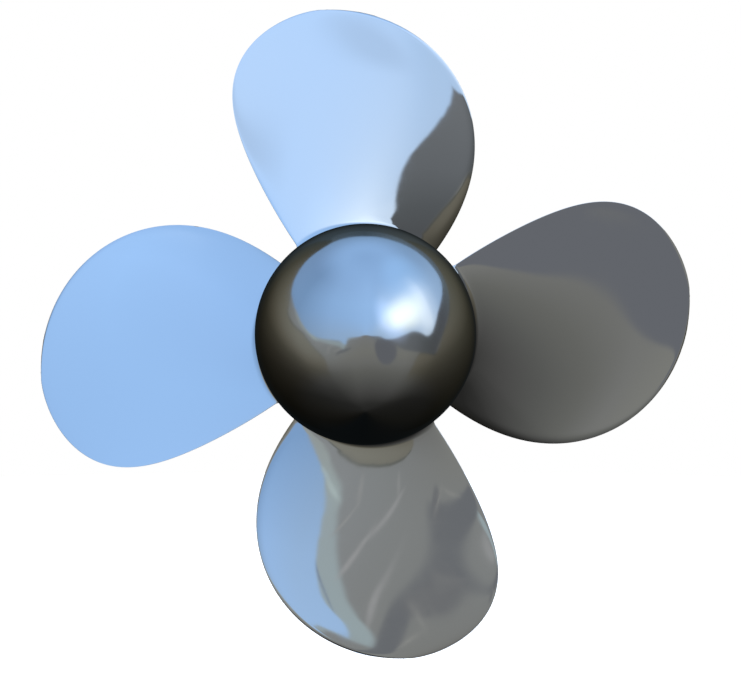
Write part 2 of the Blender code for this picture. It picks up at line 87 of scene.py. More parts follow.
# Settings of shader nodes that repeat
SMOOTH = {"interpolation_type": "SMOOTHSTEP"}
LOCAL = {"vector_type": "TEXTURE"}
BLEND = {"data_type": "RGBA"}
MULTIPLIED = {"data_type": "RGBA", "blend_type": "MULTIPLY"}
ADDED = {"data_type": "RGBA", "blend_type": "ADD"}

Profile = list[tuple[float, float]]
Line = tuple[tuple[float, float], ...]


class Slot(Enum):
    """The record's material slots."""

    POLISHED = "polished_steel"
    MACHINED = "machined_steel"
    SCREW = "screw_steel"
    RUBBER = "seal_rubber"


def linear(colour: str) -> tuple[float, float, float, float]:
    """Turns an sRGB hex colour into the linear colour that shaders take.

    Args:
        colour: The colour as "#RRGGBB".

    Returns:
        Red, green, blue and an alpha of one.
    """
    channels = (int(colour[start : start + 2], 16) / 255 for start in (1, 3, 5))
    red, green, blue = (c / 12.92 if c <= 0.04045 else ((c + 0.055) / 1.055) ** 2.4 for c in channels)
    return red, green, blue, 1.0


def mix(start: float, end: float, share: float) -> float:
    """Returns the value at a share of the way from start to end."""
    return start + (end - start) * share


def bezier(controls: tuple[float, ...], share: float) -> float:
    """Returns the value of a Bezier polynomial over its control values."""
    degree = len(controls) - 1
    return sum(
        math.comb(degree, index) * (1 - share) ** (degree - index) * share**index * value
        for index, value in enumerate(controls)
    )


def polar_point(radius: float, angle: float, y: float) -> Vector:
    """Returns the point at a radius and a clockwise angle from +Z, in the plane at y."""
    return Vector((radius * math.sin(angle), y, radius * math.cos(angle)))


def node_centre(node: str) -> Vector:
    """Returns the middle of a model node's box."""
    low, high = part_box(node)
    return (Vector(low) + Vector(high)) / 2


def add_node(
    tree: bpy.types.NodeTree,
    kind: str,
    inputs: dict[str | int, object] | None = None,
    settings: dict[str, object] | None = None,
    stops: list[tuple[float, str | float]] | None = None,
) -> bpy.types.Node:
    """Adds a shader node with its settings, values and links.

    Args:
        tree: The node tree that takes it.
        kind: The node's type after "ShaderNode", such as "Math".
        inputs: For each socket, by name or number, its value, or the node or output to link to it.
        settings: Properties of the node itself.
        stops: Position and hex colour of each stop of a ramp, or place and value of each point of a curve.

    Returns:
        The new node.
    """
    node = tree.nodes.new(f"ShaderNode{kind}")
    for name, value in (settings or {}).items():
        setattr(node, name, value)
    for socket, value in (inputs or {}).items():
        source = value.outputs[0] if isinstance(value, bpy.types.Node) else value
        if isinstance(source, bpy.types.NodeSocket):
            tree.links.new(source, node.inputs[socket])
        else:
            node.inputs[socket].default_value = source
    if stops and kind == "ValToRGB":
        elements = node.color_ramp.elements
        while len(elements) < len(stops):
            elements.new(1.0)
        for element, (position, colour) in zip(elements, stops):
            element.position = position
            element.color = linear(colour)
    elif stops:
        points = node.mapping.curves[0].points
        while len(points) < len(stops):
            points.new(1.0, 1.0)
        for point, place in zip(points, stops):
            point.location = place
            point.handle_type = "AUTO_CLAMPED"
        node.mapping.update()
    return node


def oval(
    tree: bpy.types.NodeTree,
    place: bpy.types.NodeSocket | bpy.types.Node,
    middle: tuple[float, float],
    half_sizes: tuple[float, float],
    tilt: float = 0.0,
) -> bpy.types.NodeSocket:
    """Adds the nodes that measure how far a place lies from an oval's middle.

    Args:
        tree: The node tree that takes them.
        place: The place, across and up.
        middle: The oval's middle, across and up.
        half_sizes: Half the oval's width and height.
        tilt: The oval's turn in degrees.

    Returns:
        The distance, which is 1 on the oval's rim.
    """
    inside = add_node(
        tree,
        "Mapping",
        {
            "Vector": place,
            "Location": (*middle, 0.0),
            "Rotation": (0.0, 0.0, math.radians(tilt)),
            "Scale": (*half_sizes, 1.0),
        },
        LOCAL,
    )
    return add_node(tree, "VectorMath", {0: inside}, {"operation": "LENGTH"}).outputs["Value"]


def elevation_share(angle: float) -> float:
    """Returns an elevation in degrees as a share of the way from straight down to straight up."""
    return (angle + 90) / 180


def start_material(name: str) -> tuple[bpy.types.Material, bpy.types.Node, bpy.types.NodeSocket]:
    """Starts a material.

    Args:
        name: The material's name.

    Returns:
        The material, its Principled shader and its Object coordinates.
    """
    material = bpy.data.materials.new(name)
    material.use_nodes = True
    shader = material.node_tree.nodes["Principled BSDF"]
    place = add_node(material.node_tree, "TexCoord").outputs["Object"]
    return material, shader, place


@dataclass(frozen=True)
class MirrorPolish:
    """Cast stainless steel, ground by hand and buffed to a mirror.

    It gives sharp reflections with a breath of haze, bent a little by the waves that grinding leaves.
    """

    name: str
    colour: str
    roughness: float = 0.04
    # Width in metres of the clouds of duller polish that a buffing wheel leaves, and their extra roughness
    buff_width: float = 0.09
    buff_haze: float = 0.03
    # Length and height in metres of the shallow waves left by hand grinding
    wave_length: float = 0.16
    wave_height: float = 0.0003

    def material(self) -> bpy.types.Material:
        """Returns the finish as a material."""
        material, shader, place = start_material(self.name)
        tree = material.node_tree
        shader.inputs["Base Color"].default_value = linear(self.colour)
        shader.inputs["Metallic"].default_value = 1.0
        buff = add_node(
            tree,
            "TexNoise",
            {"Vector": place, "Scale": 1 / self.buff_width, "Detail": 5.0, "Distortion": 0.8},
        )
        haze = add_node(
            tree,
            "MapRange",
            {
                "Value": buff,
                "From Min": 0.35,
                "From Max": 0.75,
                "To Min": self.roughness,
                "To Max": self.roughness + self.buff_haze,
            },
        )
        waves = add_node(tree, "TexNoise", {"Vector": place, "Scale": 1 / self.wave_length, "Detail": 0.0})
        bump = add_node(tree, "Bump", {"Height": waves, "Strength": 1.0, "Distance": self.wave_height})
        tree.links.new(haze.outputs[0], shader.inputs["Roughness"])
        tree.links.new(bump.outputs[0], shader.inputs["Normal"])
        return material


@dataclass(frozen=True)
class TurnedSteel:
    """Stainless steel faced on a lathe: fine rings round the shaft axis that stretch each highlight."""

    name: str
    colour: str = "#C9CACC"
    dull: str = "#B4B5B8"
    roughness: float = 0.22
    blotch_width: float = 0.07
    # One tool mark each 1.5 mm, coarser than a real feed of 0.3 mm so that it shows
    feed: float = 0.0015
    mark_depth: float = 0.00003

    def material(self) -> bpy.types.Material:
        """Returns the finish as a material."""
        material, shader, place = start_material(self.name)
        tree = material.node_tree
        shader.inputs["Metallic"].default_value = 1.0
        blotch = add_node(
            tree,
            "TexNoise",
            {"Vector": place, "Scale": 1 / self.blotch_width, "Detail": 6.0, "Roughness": 0.65},
        )
        tint = add_node(tree, "ValToRGB", {"Fac": blotch}, stops=[(0.3, self.dull), (0.7, self.colour)])
        rough = add_node(
            tree,
            "MapRange",
            {"Value": blotch, "To Min": self.roughness + 0.08, "To Max": self.roughness - 0.04},
        )
        rings = add_node(
            tree,
            "TexWave",
            {"Vector": place, "Scale": FULL_TURN / WAVE_RATE / self.feed, "Distortion": 0.3, "Detail": 2.0},
            {"wave_type": "RINGS", "rings_direction": "Y", "wave_profile": "SIN"},
        )
        bump = add_node(tree, "Bump", {"Height": rings, "Strength": 0.6, "Distance": self.mark_depth})
        tree.links.new(tint.outputs[0], shader.inputs["Base Color"])
        tree.links.new(rough.outputs[0], shader.inputs["Roughness"])
        tree.links.new(bump.outputs[0], shader.inputs["Normal"])
        return material


@dataclass(frozen=True)
class SatinSteel:
    """Cold-formed stainless fastener steel, tumbled: satin, with a fine grain and darker specks."""

    name: str
    colour: str = "#B4B6B9"
    dark: str = "#94969A"
    roughness: float = 0.28
    # Grain of a tumbled surface, in metres
    grain: float = 0.0012
    grain_depth: float = 0.00002

    def material(self) -> bpy.types.Material:
        """Returns the finish as a material."""
        material, shader, place = start_material(self.name)
        tree = material.node_tree
        shader.inputs["Metallic"].default_value = 1.0
        shader.inputs["Roughness"].default_value = self.roughness
        grain = add_node(tree, "TexNoise", {"Vector": place, "Scale": 1 / self.grain, "Detail": 3.0})
        tint = add_node(tree, "ValToRGB", {"Fac": grain}, stops=[(0.35, self.dark), (0.6, self.colour)])
        bump = add_node(tree, "Bump", {"Height": grain, "Strength": 0.5, "Distance": self.grain_depth})
        tree.links.new(tint.outputs[0], shader.inputs["Base Color"])
        tree.links.new(bump.outputs[0], shader.inputs["Normal"])
        return material


@dataclass(frozen=True)
class MouldedNitrile:
    """Moulded nitrile rubber: black and matt, with a fine pebble and a dusty bloom."""

    name: str
    colour: str = "#1B1B1C"
    bloom: str = "#2C2C2D"
    roughness: float = 0.62
    refraction: float = 1.52
    bloom_width: float = 0.045
    # Pebble of the mould's spark-eroded wall, in metres
    pebble: float = 0.0009
    pebble_depth: float = 0.0001

    def material(self) -> bpy.types.Material:
        """Returns the finish as a material."""
        material, shader, place = start_material(self.name)
        tree = material.node_tree
        shader.inputs["Roughness"].default_value = self.roughness
        shader.inputs["IOR"].default_value = self.refraction
        dust = add_node(
            tree,
            "TexNoise",
            {"Vector": place, "Scale": 1 / self.bloom_width, "Detail": 6.0, "Roughness": 0.7},
        )
        tint = add_node(tree, "ValToRGB", {"Fac": dust}, stops=[(0.4, self.colour), (0.75, self.bloom)])
        pebble = add_node(tree, "TexNoise", {"Vector": place, "Scale": 1 / self.pebble, "Detail": 2.0})
        bump = add_node(tree, "Bump", {"Height": pebble, "Strength": 0.4, "Distance": self.pebble_depth})
        tree.links.new(tint.outputs[0], shader.inputs["Base Color"])
        tree.links.new(bump.outputs[0], shader.inputs["Normal"])
        return material


def wrap_grid(mesh: bmesh.types.BMesh, columns: int, rows: int, place: Callable[[int, int], Vector]) -> None:
    """Adds a grid of faces and sets each vertex by its column and row.

    Args:
        mesh: The bmesh that takes the grid.
        columns: Faces across.
        rows: Faces along.
        place: Gives the point of a column and row.
    """
    grid = bmesh.ops.create_grid(mesh, x_segments=columns, y_segments=rows, size=1.0)
    for vertex in grid["verts"]:
        column = round((vertex.co.x + 1) / 2 * columns)
        row = round((vertex.co.y + 1) / 2 * rows)
        vertex.co = place(column, row)


def turn_profile(mesh: bmesh.types.BMesh, profile: Profile, segments: int, closed: bool) -> None:
    """Spins a profile once round the Y axis.

    Args:
        mesh: The bmesh that takes the turned body.
        profile: Points as radius and y.
        segments: Steps of the turn.
        closed: Whether the last point joins the first.
    """
    vertices = [mesh.verts.new((0.0, y, radius)) for radius, y in profile]
    edges = [mesh.edges.new(pair) for pair in zip(vertices, vertices[1:])]
    if closed:
        edges.append(mesh.edges.new((vertices[-1], vertices[0])))
    bmesh.ops.spin(
        mesh,
        geom=vertices + edges,
        cent=(0.0, 0.0, 0.0),
        axis=SHAFT,
        dvec=(0.0, 0.0, 0.0),
        angle=FULL_TURN,
        steps=segments,
        use_merge=True,
    )
    bmesh.ops.remove_doubles(mesh, verts=mesh.verts, dist=WELD)
    bmesh.ops.recalc_face_normals(mesh, faces=mesh.faces)


def round_edges(
    mesh: bmesh.types.BMesh, edges: list[bmesh.types.BMEdge], width: float, segments: int
) -> None:
    """Rounds some edges.

    Args:
        mesh: The bmesh to work on.
        edges: Its edges to round.
        width: How far back from the edge the round starts.
        segments: Faces across the round.
    """
    bmesh.ops.bevel(
        mesh,
        geom=edges,
        offset=width,
        offset_type="OFFSET",
        segments=segments,
        profile=0.5,
        affect="EDGES",
        material=-1,
    )


def ease_edges(mesh: bmesh.types.BMesh, width: float) -> None:
    """Rounds every keen edge a little, as a deburring tool does.

    Args:
        mesh: The bmesh to work on.
        width: How far back from the edge the round starts.
    """
    keen = [edge for edge in mesh.edges if len(edge.link_faces) == 2 and edge.calc_face_angle() > KEEN]
    round_edges(mesh, keen, width, EASE_STEPS)


def new_object(name: str, mesh: bmesh.types.BMesh) -> bpy.types.Object:
    """Turns a bmesh into a smooth-shaded object with sharp edges kept.

    Args:
        name: The object's name.
        mesh: The bmesh, which is freed.

    Returns:
        The new object.
    """
    data = bpy.data.meshes.new(name)
    mesh.to_mesh(data)
    mesh.free()
    data.shade_smooth()
    data.set_sharp_from_angle(angle=SHARP)
    piece = bpy.data.objects.new(name, data)
    bpy.context.scene.collection.objects.link(piece)
    return piece


def drill(target: bpy.types.Object, profile: Profile, sites: list[Matrix], segments: int) -> None:
    """Cuts a turned hole into a piece at each site and applies the cut.

    Args:
        target: The piece to drill.
        profile: The hole as radius and y, along the site's own Y axis.
        sites: Where the holes are.
        segments: Sides of each hole.
    """
    tools = bmesh.new()
    for site in sites:
        one = bmesh.new()
        turn_profile(one, profile, segments, closed=False)
        one.transform(site)
        data = bpy.data.meshes.new("drill")
        one.to_mesh(data)
        one.free()
        tools.from_mesh(data)
        bpy.data.meshes.remove(data)
    cutter = new_object("drill", tools)
    boolean = target.modifiers.new("holes", "BOOLEAN")
    boolean.operation = "DIFFERENCE"
    boolean.solver = "EXACT"
    boolean.object = cutter
    apply_modifiers(target)
    bpy.data.objects.remove(cutter)


def apply_modifiers(piece: bpy.types.Object) -> None:
    """Replaces a piece's mesh by the mesh that its modifiers give."""
    graph = bpy.context.evaluated_depsgraph_get()
    applied = bpy.data.meshes.new_from_object(piece.evaluated_get(graph))
    applied.name = piece.name
    piece.modifiers.clear()
    piece.data = applied


def true_normals(piece: bpy.types.Object, normal_at: Callable[[Vector], Vector | None]) -> None:
    """Gives the corners on a known surface that surface's own normal, so that a cut leaves no dent.

    Args:
        piece: The piece whose corners are set.
        normal_at: Gives the outward normal at a point, or None off the surface.
    """
    data = piece.data
    known = [normal_at(vertex.co) for vertex in data.vertices]
    normals = [Vector(corner.vector) for corner in data.corner_normals]
    for face in data.polygons:
        for loop in face.loop_indices:
            normal = known[data.loops[loop].vertex_index]
            if normal is not None and normal.dot(face.normal) > SAME_WAY:
                normals[loop] = normal
    data.normals_split_custom_set(normals)


def round_normal(point: Vector, radius: float) -> Vector | None:
    """Returns the outward normal at a point on a round side about the shaft, or None elsewhere."""
    across = math.hypot(point.x, point.z)
    if abs(across - radius) > ON_SURFACE:
        return None
    return Vector((point.x / across, 0.0, point.z / across))


def radial_site(radius: float, angle: float, y: float) -> Matrix:
    """Returns the matrix of a radial screw: its head outwards, its seat at a radius."""
    outward = polar_point(1.0, angle, 0.0)
    axes = Matrix((outward.cross(SHAFT), outward, SHAFT)).transposed()
    return Matrix.Translation(polar_point(radius, angle, y)) @ axes.to_4x4()


def axial_site(place: Vector, forward: bool) -> Matrix:
    """Returns the matrix of a screw along the shaft, its head towards forward or aft."""
    turn = Matrix.Identity(4) if forward else Matrix.Rotation(math.pi, 4, "Z")
    return Matrix.Translation(place) @ turn


def hexagon_factor(angle: float) -> float:
    """Returns the share of the corner radius at which a hexagon's side lies, with corners at whole steps."""
    from_flat = angle % HEX_STEP - HEX_STEP / 2
    return math.cos(HEX_STEP / 2) / math.cos(from_flat)


@dataclass(frozen=True)
class Screw:
    """A kind of screw or plug along its own Y axis: its seat at y = 0, its head towards +Y."""

    node: str
    name: str
    count: int
    shank: float
    length: float
    head: float
    height: float
    socket: float = 0.0
    depth: float = 0.0
    segments: int = 48
    ease: float = 0.0006
    # Room round the screw in its hole: at its sides, past its point, under its head and at the mouth
    clearance: float = 0.0005
    point_clearance: float = 0.004
    seat_gap: float = 0.0003
    flare: float = 0.001
    hole_sides: int = 24
    mouth_sides: int = 32

    def mesh(self) -> bmesh.types.BMesh:
        """Returns the screw as a bmesh."""
        tip = 2 * self.ease
        profile = [(0.0, -self.length), (self.shank - tip, -self.length), (self.shank, tip - self.length)]
        profile += [(self.shank, 0.0), (self.head - self.ease, 0.0), (self.head, self.ease)]
        crown = 2 * self.ease
        profile += [(self.head, self.height - crown), (self.head - crown, self.height)]
        if self.socket:
            floor = self.height - self.depth
            mouth = self.socket + self.ease
            profile += [(mouth, self.height), (self.socket, self.height - self.ease), (self.socket, floor)]
            # The drill leaves a cone in the socket's floor
            profile += [(0.0, floor - self.socket / 3)]
        else:
            profile += [(0.0, self.height)]
        mesh = bmesh.new()
        turn_profile(mesh, profile, self.segments, closed=False)
        if self.socket:
            self.shape_socket(mesh)
        else:
            self.shape_hexagon(mesh)
        bmesh.ops.recalc_face_normals(mesh, faces=mesh.faces)
        return mesh

    def shape_socket(self, mesh: bmesh.types.BMesh) -> None:
        """Draws the socket's wall in to a hexagon."""
        for vertex in mesh.verts:
            radius = math.hypot(vertex.co.x, vertex.co.z)
            if vertex.co.y > self.height - self.depth - WELD and abs(radius - self.socket) < WELD:
                factor = hexagon_factor(math.atan2(vertex.co.x, vertex.co.z))
                vertex.co.x *= factor
                vertex.co.z *= factor

    def shape_hexagon(self, mesh: bmesh.types.BMesh) -> None:
        """Draws the head in to a hexagon, whose chamfered top dips at the corners."""
        inscribed = self.head * math.cos(HEX_STEP / 2)
        for vertex in mesh.verts:
            radius = math.hypot(vertex.co.x, vertex.co.z)
            if vertex.co.y < -WELD or radius < self.shank + WELD:
                continue
            factor = hexagon_factor(math.atan2(vertex.co.x, vertex.co.z))
            if radius > self.head - 1.5 * self.ease:
                vertex.co.x *= factor
                vertex.co.z *= factor
                dip = (self.head * factor - inscribed) * CORNER_SLOPE
                if vertex.co.y > self.height / 2:
                    vertex.co.y = self.height - dip - self.ease / 2
            else:
                vertex.co.x *= inscribed / self.head
                vertex.co.z *= inscribed / self.head

    def place(self, name: str, site: Matrix) -> bpy.types.Object:
        """Returns the screw as a named piece at a site."""
        mesh = self.mesh()
        mesh.transform(site)
        return new_object(name, mesh)

    def hole(self) -> Profile:
        """Returns the profile of a hole that clears the shank."""
        radius, low = self.shank + self.clearance, -self.length - self.point_clearance
        return [(0.0, low), (radius, low), (radius, self.height), (0.0, self.height)]

    def sunk_hole(self, rise: float) -> Profile:
        """Returns the profile of the hole and counterbore that the whole screw sits in.

        Args:
            rise: Height of the part's surface above the head's seat.

        Returns:
            The profile as radius and y.
        """
        inner, outer = self.shank + self.clearance, self.head + self.clearance
        low, mouth = -self.length - self.point_clearance, outer + 2 * self.flare
        profile = [(0.0, low), (inner, low), (inner, -self.seat_gap), (outer, -self.seat_gap)]
        profile += [(outer, rise - self.flare), (mouth, rise + self.flare), (mouth, 2 * rise)]
        return [*profile, (0.0, 2 * rise)]


@dataclass(frozen=True)
class Blade:
    """The shape of one blade: its outline, twist, rake, face curve, thickness and root fillet."""

    root_radius: float
    tip_radius: float = 1.2
    root_pitch: float = 1.8
    tip_pitch: float = 2.1
    # Angles of the edges from the blade's own centre line in degrees, as Bezier controls
    trailing_edge: tuple[float, ...] = (-37.9, -36.0, -30.4, -34.6, -14.6, -8.3)
    leading_edge: tuple[float, ...] = (40.5, 38.3, 31.4, 18.0, 4.6, -8.3)
    rake: tuple[float, ...] = (0.0, 0.013, 0.036, 0.055)
    root_face_curvature: float = 0.66
    tip_face_curvature: float = -0.52
    root_thickness: float = 0.075
    tip_thickness: float = 0.010
    root_edge: float = 0.022
    tip_edge: float = 0.006
    fillet: float = 0.035
    fillet_at_edge: float = 0.022
    tip_fade_power: int = 8
    # The aft face falls away towards the leading edge over this width, by this much at the edge
    washback_width: float = 0.035
    washback: float = 0.004
    # It grows from nothing at the boss to its full depth over the span divided by this
    washback_growth: float = 8

    def reach(self, radius: float) -> float:
        """Returns 0 at the boss and 1 at the tip, in proportion to the radius."""
        return (radius - self.root_radius) / (self.tip_radius - self.root_radius)

    def span_share(self, radius: float) -> float:
        """Returns 0 at the boss and 1 at the tip, with even steps crowding towards the tip's radius."""
        return 2 / math.pi * math.asin(min(1.0, max(0.0, self.reach(radius))))

    def span_radius(self, share: float) -> float:
        """Returns the radius at a share of the span, the inverse of span_share."""
        return mix(self.root_radius, self.tip_radius, math.sin(share * math.pi / 2))

    def lead(self, share: float) -> float:
        """Returns how far the blade advances along the shaft for each radian, at a share of the span."""
        return (self.tip_pitch - (self.tip_pitch - self.root_pitch) * (1 - share) ** 2) / FULL_TURN

    def fillet_radius(self, turn: float) -> float:
        """Returns the root fillet's radius at a turn round the section."""
        return mix(self.fillet_at_edge, self.fillet, abs(math.sin(turn)))

    def angle_and_y(self, turn: float, radius: float, spread: float) -> tuple[float, float]:
        """Finds a point of the blade's skin.

        Args:
            turn: Place round the section: 0 at the leading edge, pi at the trailing edge, back first.
            radius: Distance from the shaft axis.
            spread: How far the point lies outside the section, in the fillet.

        Returns:
            The point's angle and its y, counted from the disc plane.
        """
        share = self.span_share(radius)
        reach = self.reach(radius)
        trailing = math.radians(bezier(self.trailing_edge, share))
        leading = math.radians(bezier(self.leading_edge, share))
        chord_angle = mix(trailing, leading, (1 + math.cos(turn)) / 2)
        tip_fade = math.sqrt(max(0.0, 1 - share**self.tip_fade_power))
        edge = mix(self.root_edge, self.tip_edge, reach) * tip_fade
        thickness = mix(self.root_thickness, self.tip_thickness, reach) * tip_fade
        normal = edge / 2 * math.sin(turn) + spread * math.sin(turn)
        if math.sin(turn) > 0:
            normal += (thickness - edge) * math.sin(turn) ** 2
        along = spread * math.cos(turn)
        lead = self.lead(share)
        slope = math.atan2(lead, radius)
        across = radius * (chord_angle - (trailing + leading) / 2)
        bow = mix(self.root_face_curvature, self.tip_face_curvature, reach) / 2 * across**2
        from_edge = radius * (leading - chord_angle)
        fall = self.washback * max(0.0, 1 - from_edge / self.washback_width) ** 2
        fall *= min(1.0, self.washback_growth * reach)
        arc = radius * chord_angle + along * math.cos(slope) - normal * math.sin(slope)
        y = lead * chord_angle + along * math.sin(slope) + normal * math.cos(slope)
        return arc / radius, y + bezier(self.rake, reach) + bow + fall

    def foot(self, turn: float) -> tuple[float, float]:
        """Returns the angle and y where the fillet runs out on the boss."""
        return self.angle_and_y(turn, self.root_radius, self.fillet_radius(turn))


@dataclass
class Casting:
    """The boss and its four blades, cast in one piece and machined at its ends and bore."""

    blade_count: int = 4
    radius: float = field(default_factory=lambda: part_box("boss_cap")[1][0])
    forward_round: float = 0.025
    forward_margin: float = 0.0485
    aft_margin: float = 0.047
    bore_forward: float = 0.125
    bore_aft: float = 0.104
    spigot_length: float = 0.05
    spigot_radius: float = field(default_factory=lambda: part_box("cap_gasket")[1][0])
    spigot_wall: float = 0.045
    seat_gap: float = 0.0003
    edge_ease: float = 0.0012
    # The model finds how far the blades' feet reach at the vertices of its own, coarser sections
    model_chord_steps: int = 12
    chord_steps: int = 48
    fillet_steps: int = 12
    span_steps: int = 72
    end_steps: int = 6
    round_steps: int = 10
    segments: int = 192

    def __post_init__(self) -> None:
        """Works out the places along the shaft from the blades' feet, as the model does."""
        self.blade = Blade(root_radius=self.radius)
        self.quarter = FULL_TURN / self.blade_count
        steps = self.model_chord_steps
        feet = [self.blade.foot(math.pi * step / steps)[1] for step in range(2 * steps)]
        self.disc_setback = max(feet) + self.forward_margin + self.forward_round
        self.aft = min(feet) - self.aft_margin - self.disc_setback
        self.spigot_end = self.aft - self.spigot_length
        gland_low, gland_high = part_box("gland_ring")
        seal_low, seal_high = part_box("forward_seal")
        self.gland_seat = gland_low[1] - self.seat_gap
        self.gland_pocket = gland_high[0] + self.seat_gap
        self.seal_pocket = seal_high[0] + self.seat_gap
        self.seal_end = seal_low[1] - self.seat_gap

    def disc_point(self, radius: float, angle: float, y: float) -> Vector:
        """Returns a point whose y is counted from the disc plane."""
        return polar_point(radius, angle, y - self.disc_setback)

    def add_blade(self, mesh: bmesh.types.BMesh) -> None:
        """Adds one blade from the run-out of its fillet to its tip."""
        columns = 2 * self.chord_steps
        blade = self.blade

        def place(column: int, row: int) -> Vector:
            turn = FULL_TURN * (column % columns) / columns
            fillet = blade.fillet_radius(turn)
            spread = 0.0
            if row <= self.fillet_steps:
                bend = math.pi / 2 * row / self.fillet_steps
                radius = self.radius + fillet * (1 - math.cos(bend))
                spread = fillet * (1 - math.sin(bend))
            else:
                start = blade.span_share(self.radius + fillet)
                radius = blade.span_radius(mix(start, 1.0, (row - self.fillet_steps) / self.span_steps))
            angle, y = blade.angle_and_y(turn, radius, spread)
            return self.disc_point(radius, angle, y)

        wrap_grid(mesh, columns, self.fillet_steps + self.span_steps, place)

    def ring_angle(self, angle: float) -> float:
        """Returns the nearest angle at which a turned ring has a vertex."""
        step = FULL_TURN / self.segments
        return round(angle / step) * step

    def helix_angle(self, y: float) -> float:
        """Returns the angle of the blade's middle line, carried on along the boss, at y."""
        lead = self.blade.lead(0.0)
        slope = math.atan2(lead, self.radius)
        return y / lead - self.blade.root_thickness / 2 / math.sin(slope) / self.radius

    def add_boss_strip(self, mesh: bmesh.types.BMesh, side: int) -> None:
        """Adds the part of the boss on a blade's back (side 1) or face (side -1), from end to end."""
        ends = (self.aft + self.disc_setback, self.disc_setback - self.forward_round)
        feet = (self.blade.foot(math.pi), self.blade.foot(0.0))
        end_angles = tuple(self.ring_angle(self.helix_angle(y)) for y in ends)
        columns = self.segments // (2 * self.blade_count)
        last_foot_row = self.end_steps + self.chord_steps

        def middle_angle(y: float) -> float:
            angle = self.helix_angle(y)
            for end, foot, end_angle in zip(ends, feet, end_angles):
                share = (y - foot[1]) / (end - foot[1])
                if share > 0:
                    angle += share * (end_angle - self.helix_angle(end))
            return angle

        def inner(row: int, way: int) -> tuple[float, float]:
            if row < self.end_steps:
                share = row / self.end_steps
                return mix(end_angles[0], feet[0][0], share), mix(ends[0], feet[0][1], share)
            if row > last_foot_row:
                share = (row - last_foot_row) / self.end_steps
                return mix(feet[1][0], end_angles[1], share), mix(feet[1][1], ends[1], share)
            step = row - self.end_steps
            return self.blade.foot(way * math.pi * (self.chord_steps - step) / self.chord_steps)

        def border_y(row: int) -> float:
            if self.end_steps <= row <= last_foot_row:
                turn = math.pi * (last_foot_row - row) / self.chord_steps
                return mix(feet[0][1], feet[1][1], (1 + math.cos(turn)) / 2)
            return inner(row, 1)[1]

        def place(column: int, row: int) -> Vector:
            inner_angle, inner_y = inner(row, side)
            outer_y = border_y(row)
            outer_angle = middle_angle(outer_y) - side * self.quarter / 2
            share = column / columns
            return self.disc_point(
                self.radius, mix(inner_angle, outer_angle, share), mix(inner_y, outer_y, share)
            )

        wrap_grid(mesh, columns, 2 * self.end_steps + self.chord_steps, place)

    def end_profile(self) -> Profile:
        """Returns the turned profile from the boss's forward corner, through the bore, to its aft edge."""
        profile = []
        for step in range(1, self.round_steps + 1):
            bend = math.pi / 2 * step / self.round_steps
            across = self.radius - self.forward_round * (1 - math.cos(bend))
            profile.append((across, self.forward_round * (math.sin(bend) - 1)))
        spigot_bore = self.spigot_radius - self.spigot_wall
        profile += [
            (self.gland_pocket, 0.0),
            (self.gland_pocket, self.gland_seat),
            (self.seal_pocket, self.gland_seat),
            (self.seal_pocket, self.seal_end),
            (self.bore_forward, self.seal_end),
            (self.bore_aft, self.aft),
            (spigot_bore, self.aft),
            (spigot_bore, self.spigot_end),
            (self.spigot_radius, self.spigot_end),
            (self.spigot_radius, self.aft),
            (self.radius, self.aft),
        ]
        return profile

    def extrude_ends(self, mesh: bmesh.types.BMesh) -> None:
        """Extrudes the forward ring from point to point of the end profile until it meets the aft ring."""
        middle = (self.aft - self.forward_round) / 2
        ring = [edge for edge in mesh.edges if edge.is_boundary and edge.verts[0].co.y > middle]
        for step, (radius, y) in enumerate(self.end_profile()):
            geometry = bmesh.ops.extrude_edge_only(mesh, edges=ring)["geom"]
            ring = [item for item in geometry if isinstance(item, bmesh.types.BMEdge)]
            for vertex in {vertex for edge in ring for vertex in edge.verts}:
                direction = Vector((vertex.co.x, 0.0, vertex.co.z)).normalized()
                vertex.co = direction * radius + SHAFT * y
            if step >= self.round_steps:
                for item in geometry:
                    if isinstance(item, bmesh.types.BMFace):
                        item.material_index = 1

    def boss_normal(self, point: Vector) -> Vector | None:
        """Returns the outward normal on the boss's round side, or None elsewhere."""
        return round_normal(point, self.radius)

    def build(self) -> bpy.types.Object:
        """Returns the casting as a piece without holes or finish."""
        mesh = bmesh.new()
        self.add_blade(mesh)
        self.add_boss_strip(mesh, 1)
        self.add_boss_strip(mesh, -1)
        one = list(mesh.verts) + list(mesh.edges) + list(mesh.faces)
        for index in range(1, self.blade_count):
            copy = bmesh.ops.duplicate(mesh, geom=one)["geom"]
            vertices = [item for item in copy if isinstance(item, bmesh.types.BMVert)]
            turn = Matrix.Rotation(self.quarter * index, 3, "Y")
            bmesh.ops.rotate(mesh, cent=(0.0, 0.0, 0.0), matrix=turn, verts=vertices)
        bmesh.ops.remove_doubles(mesh, verts=mesh.verts, dist=WELD)
        self.extrude_ends(mesh)
        bmesh.ops.remove_doubles(mesh, verts=mesh.verts, dist=WELD)
        bmesh.ops.recalc_face_normals(mesh, faces=mesh.faces)
        ease_edges(mesh, self.edge_ease)
        return new_object("mirror_casting", mesh)


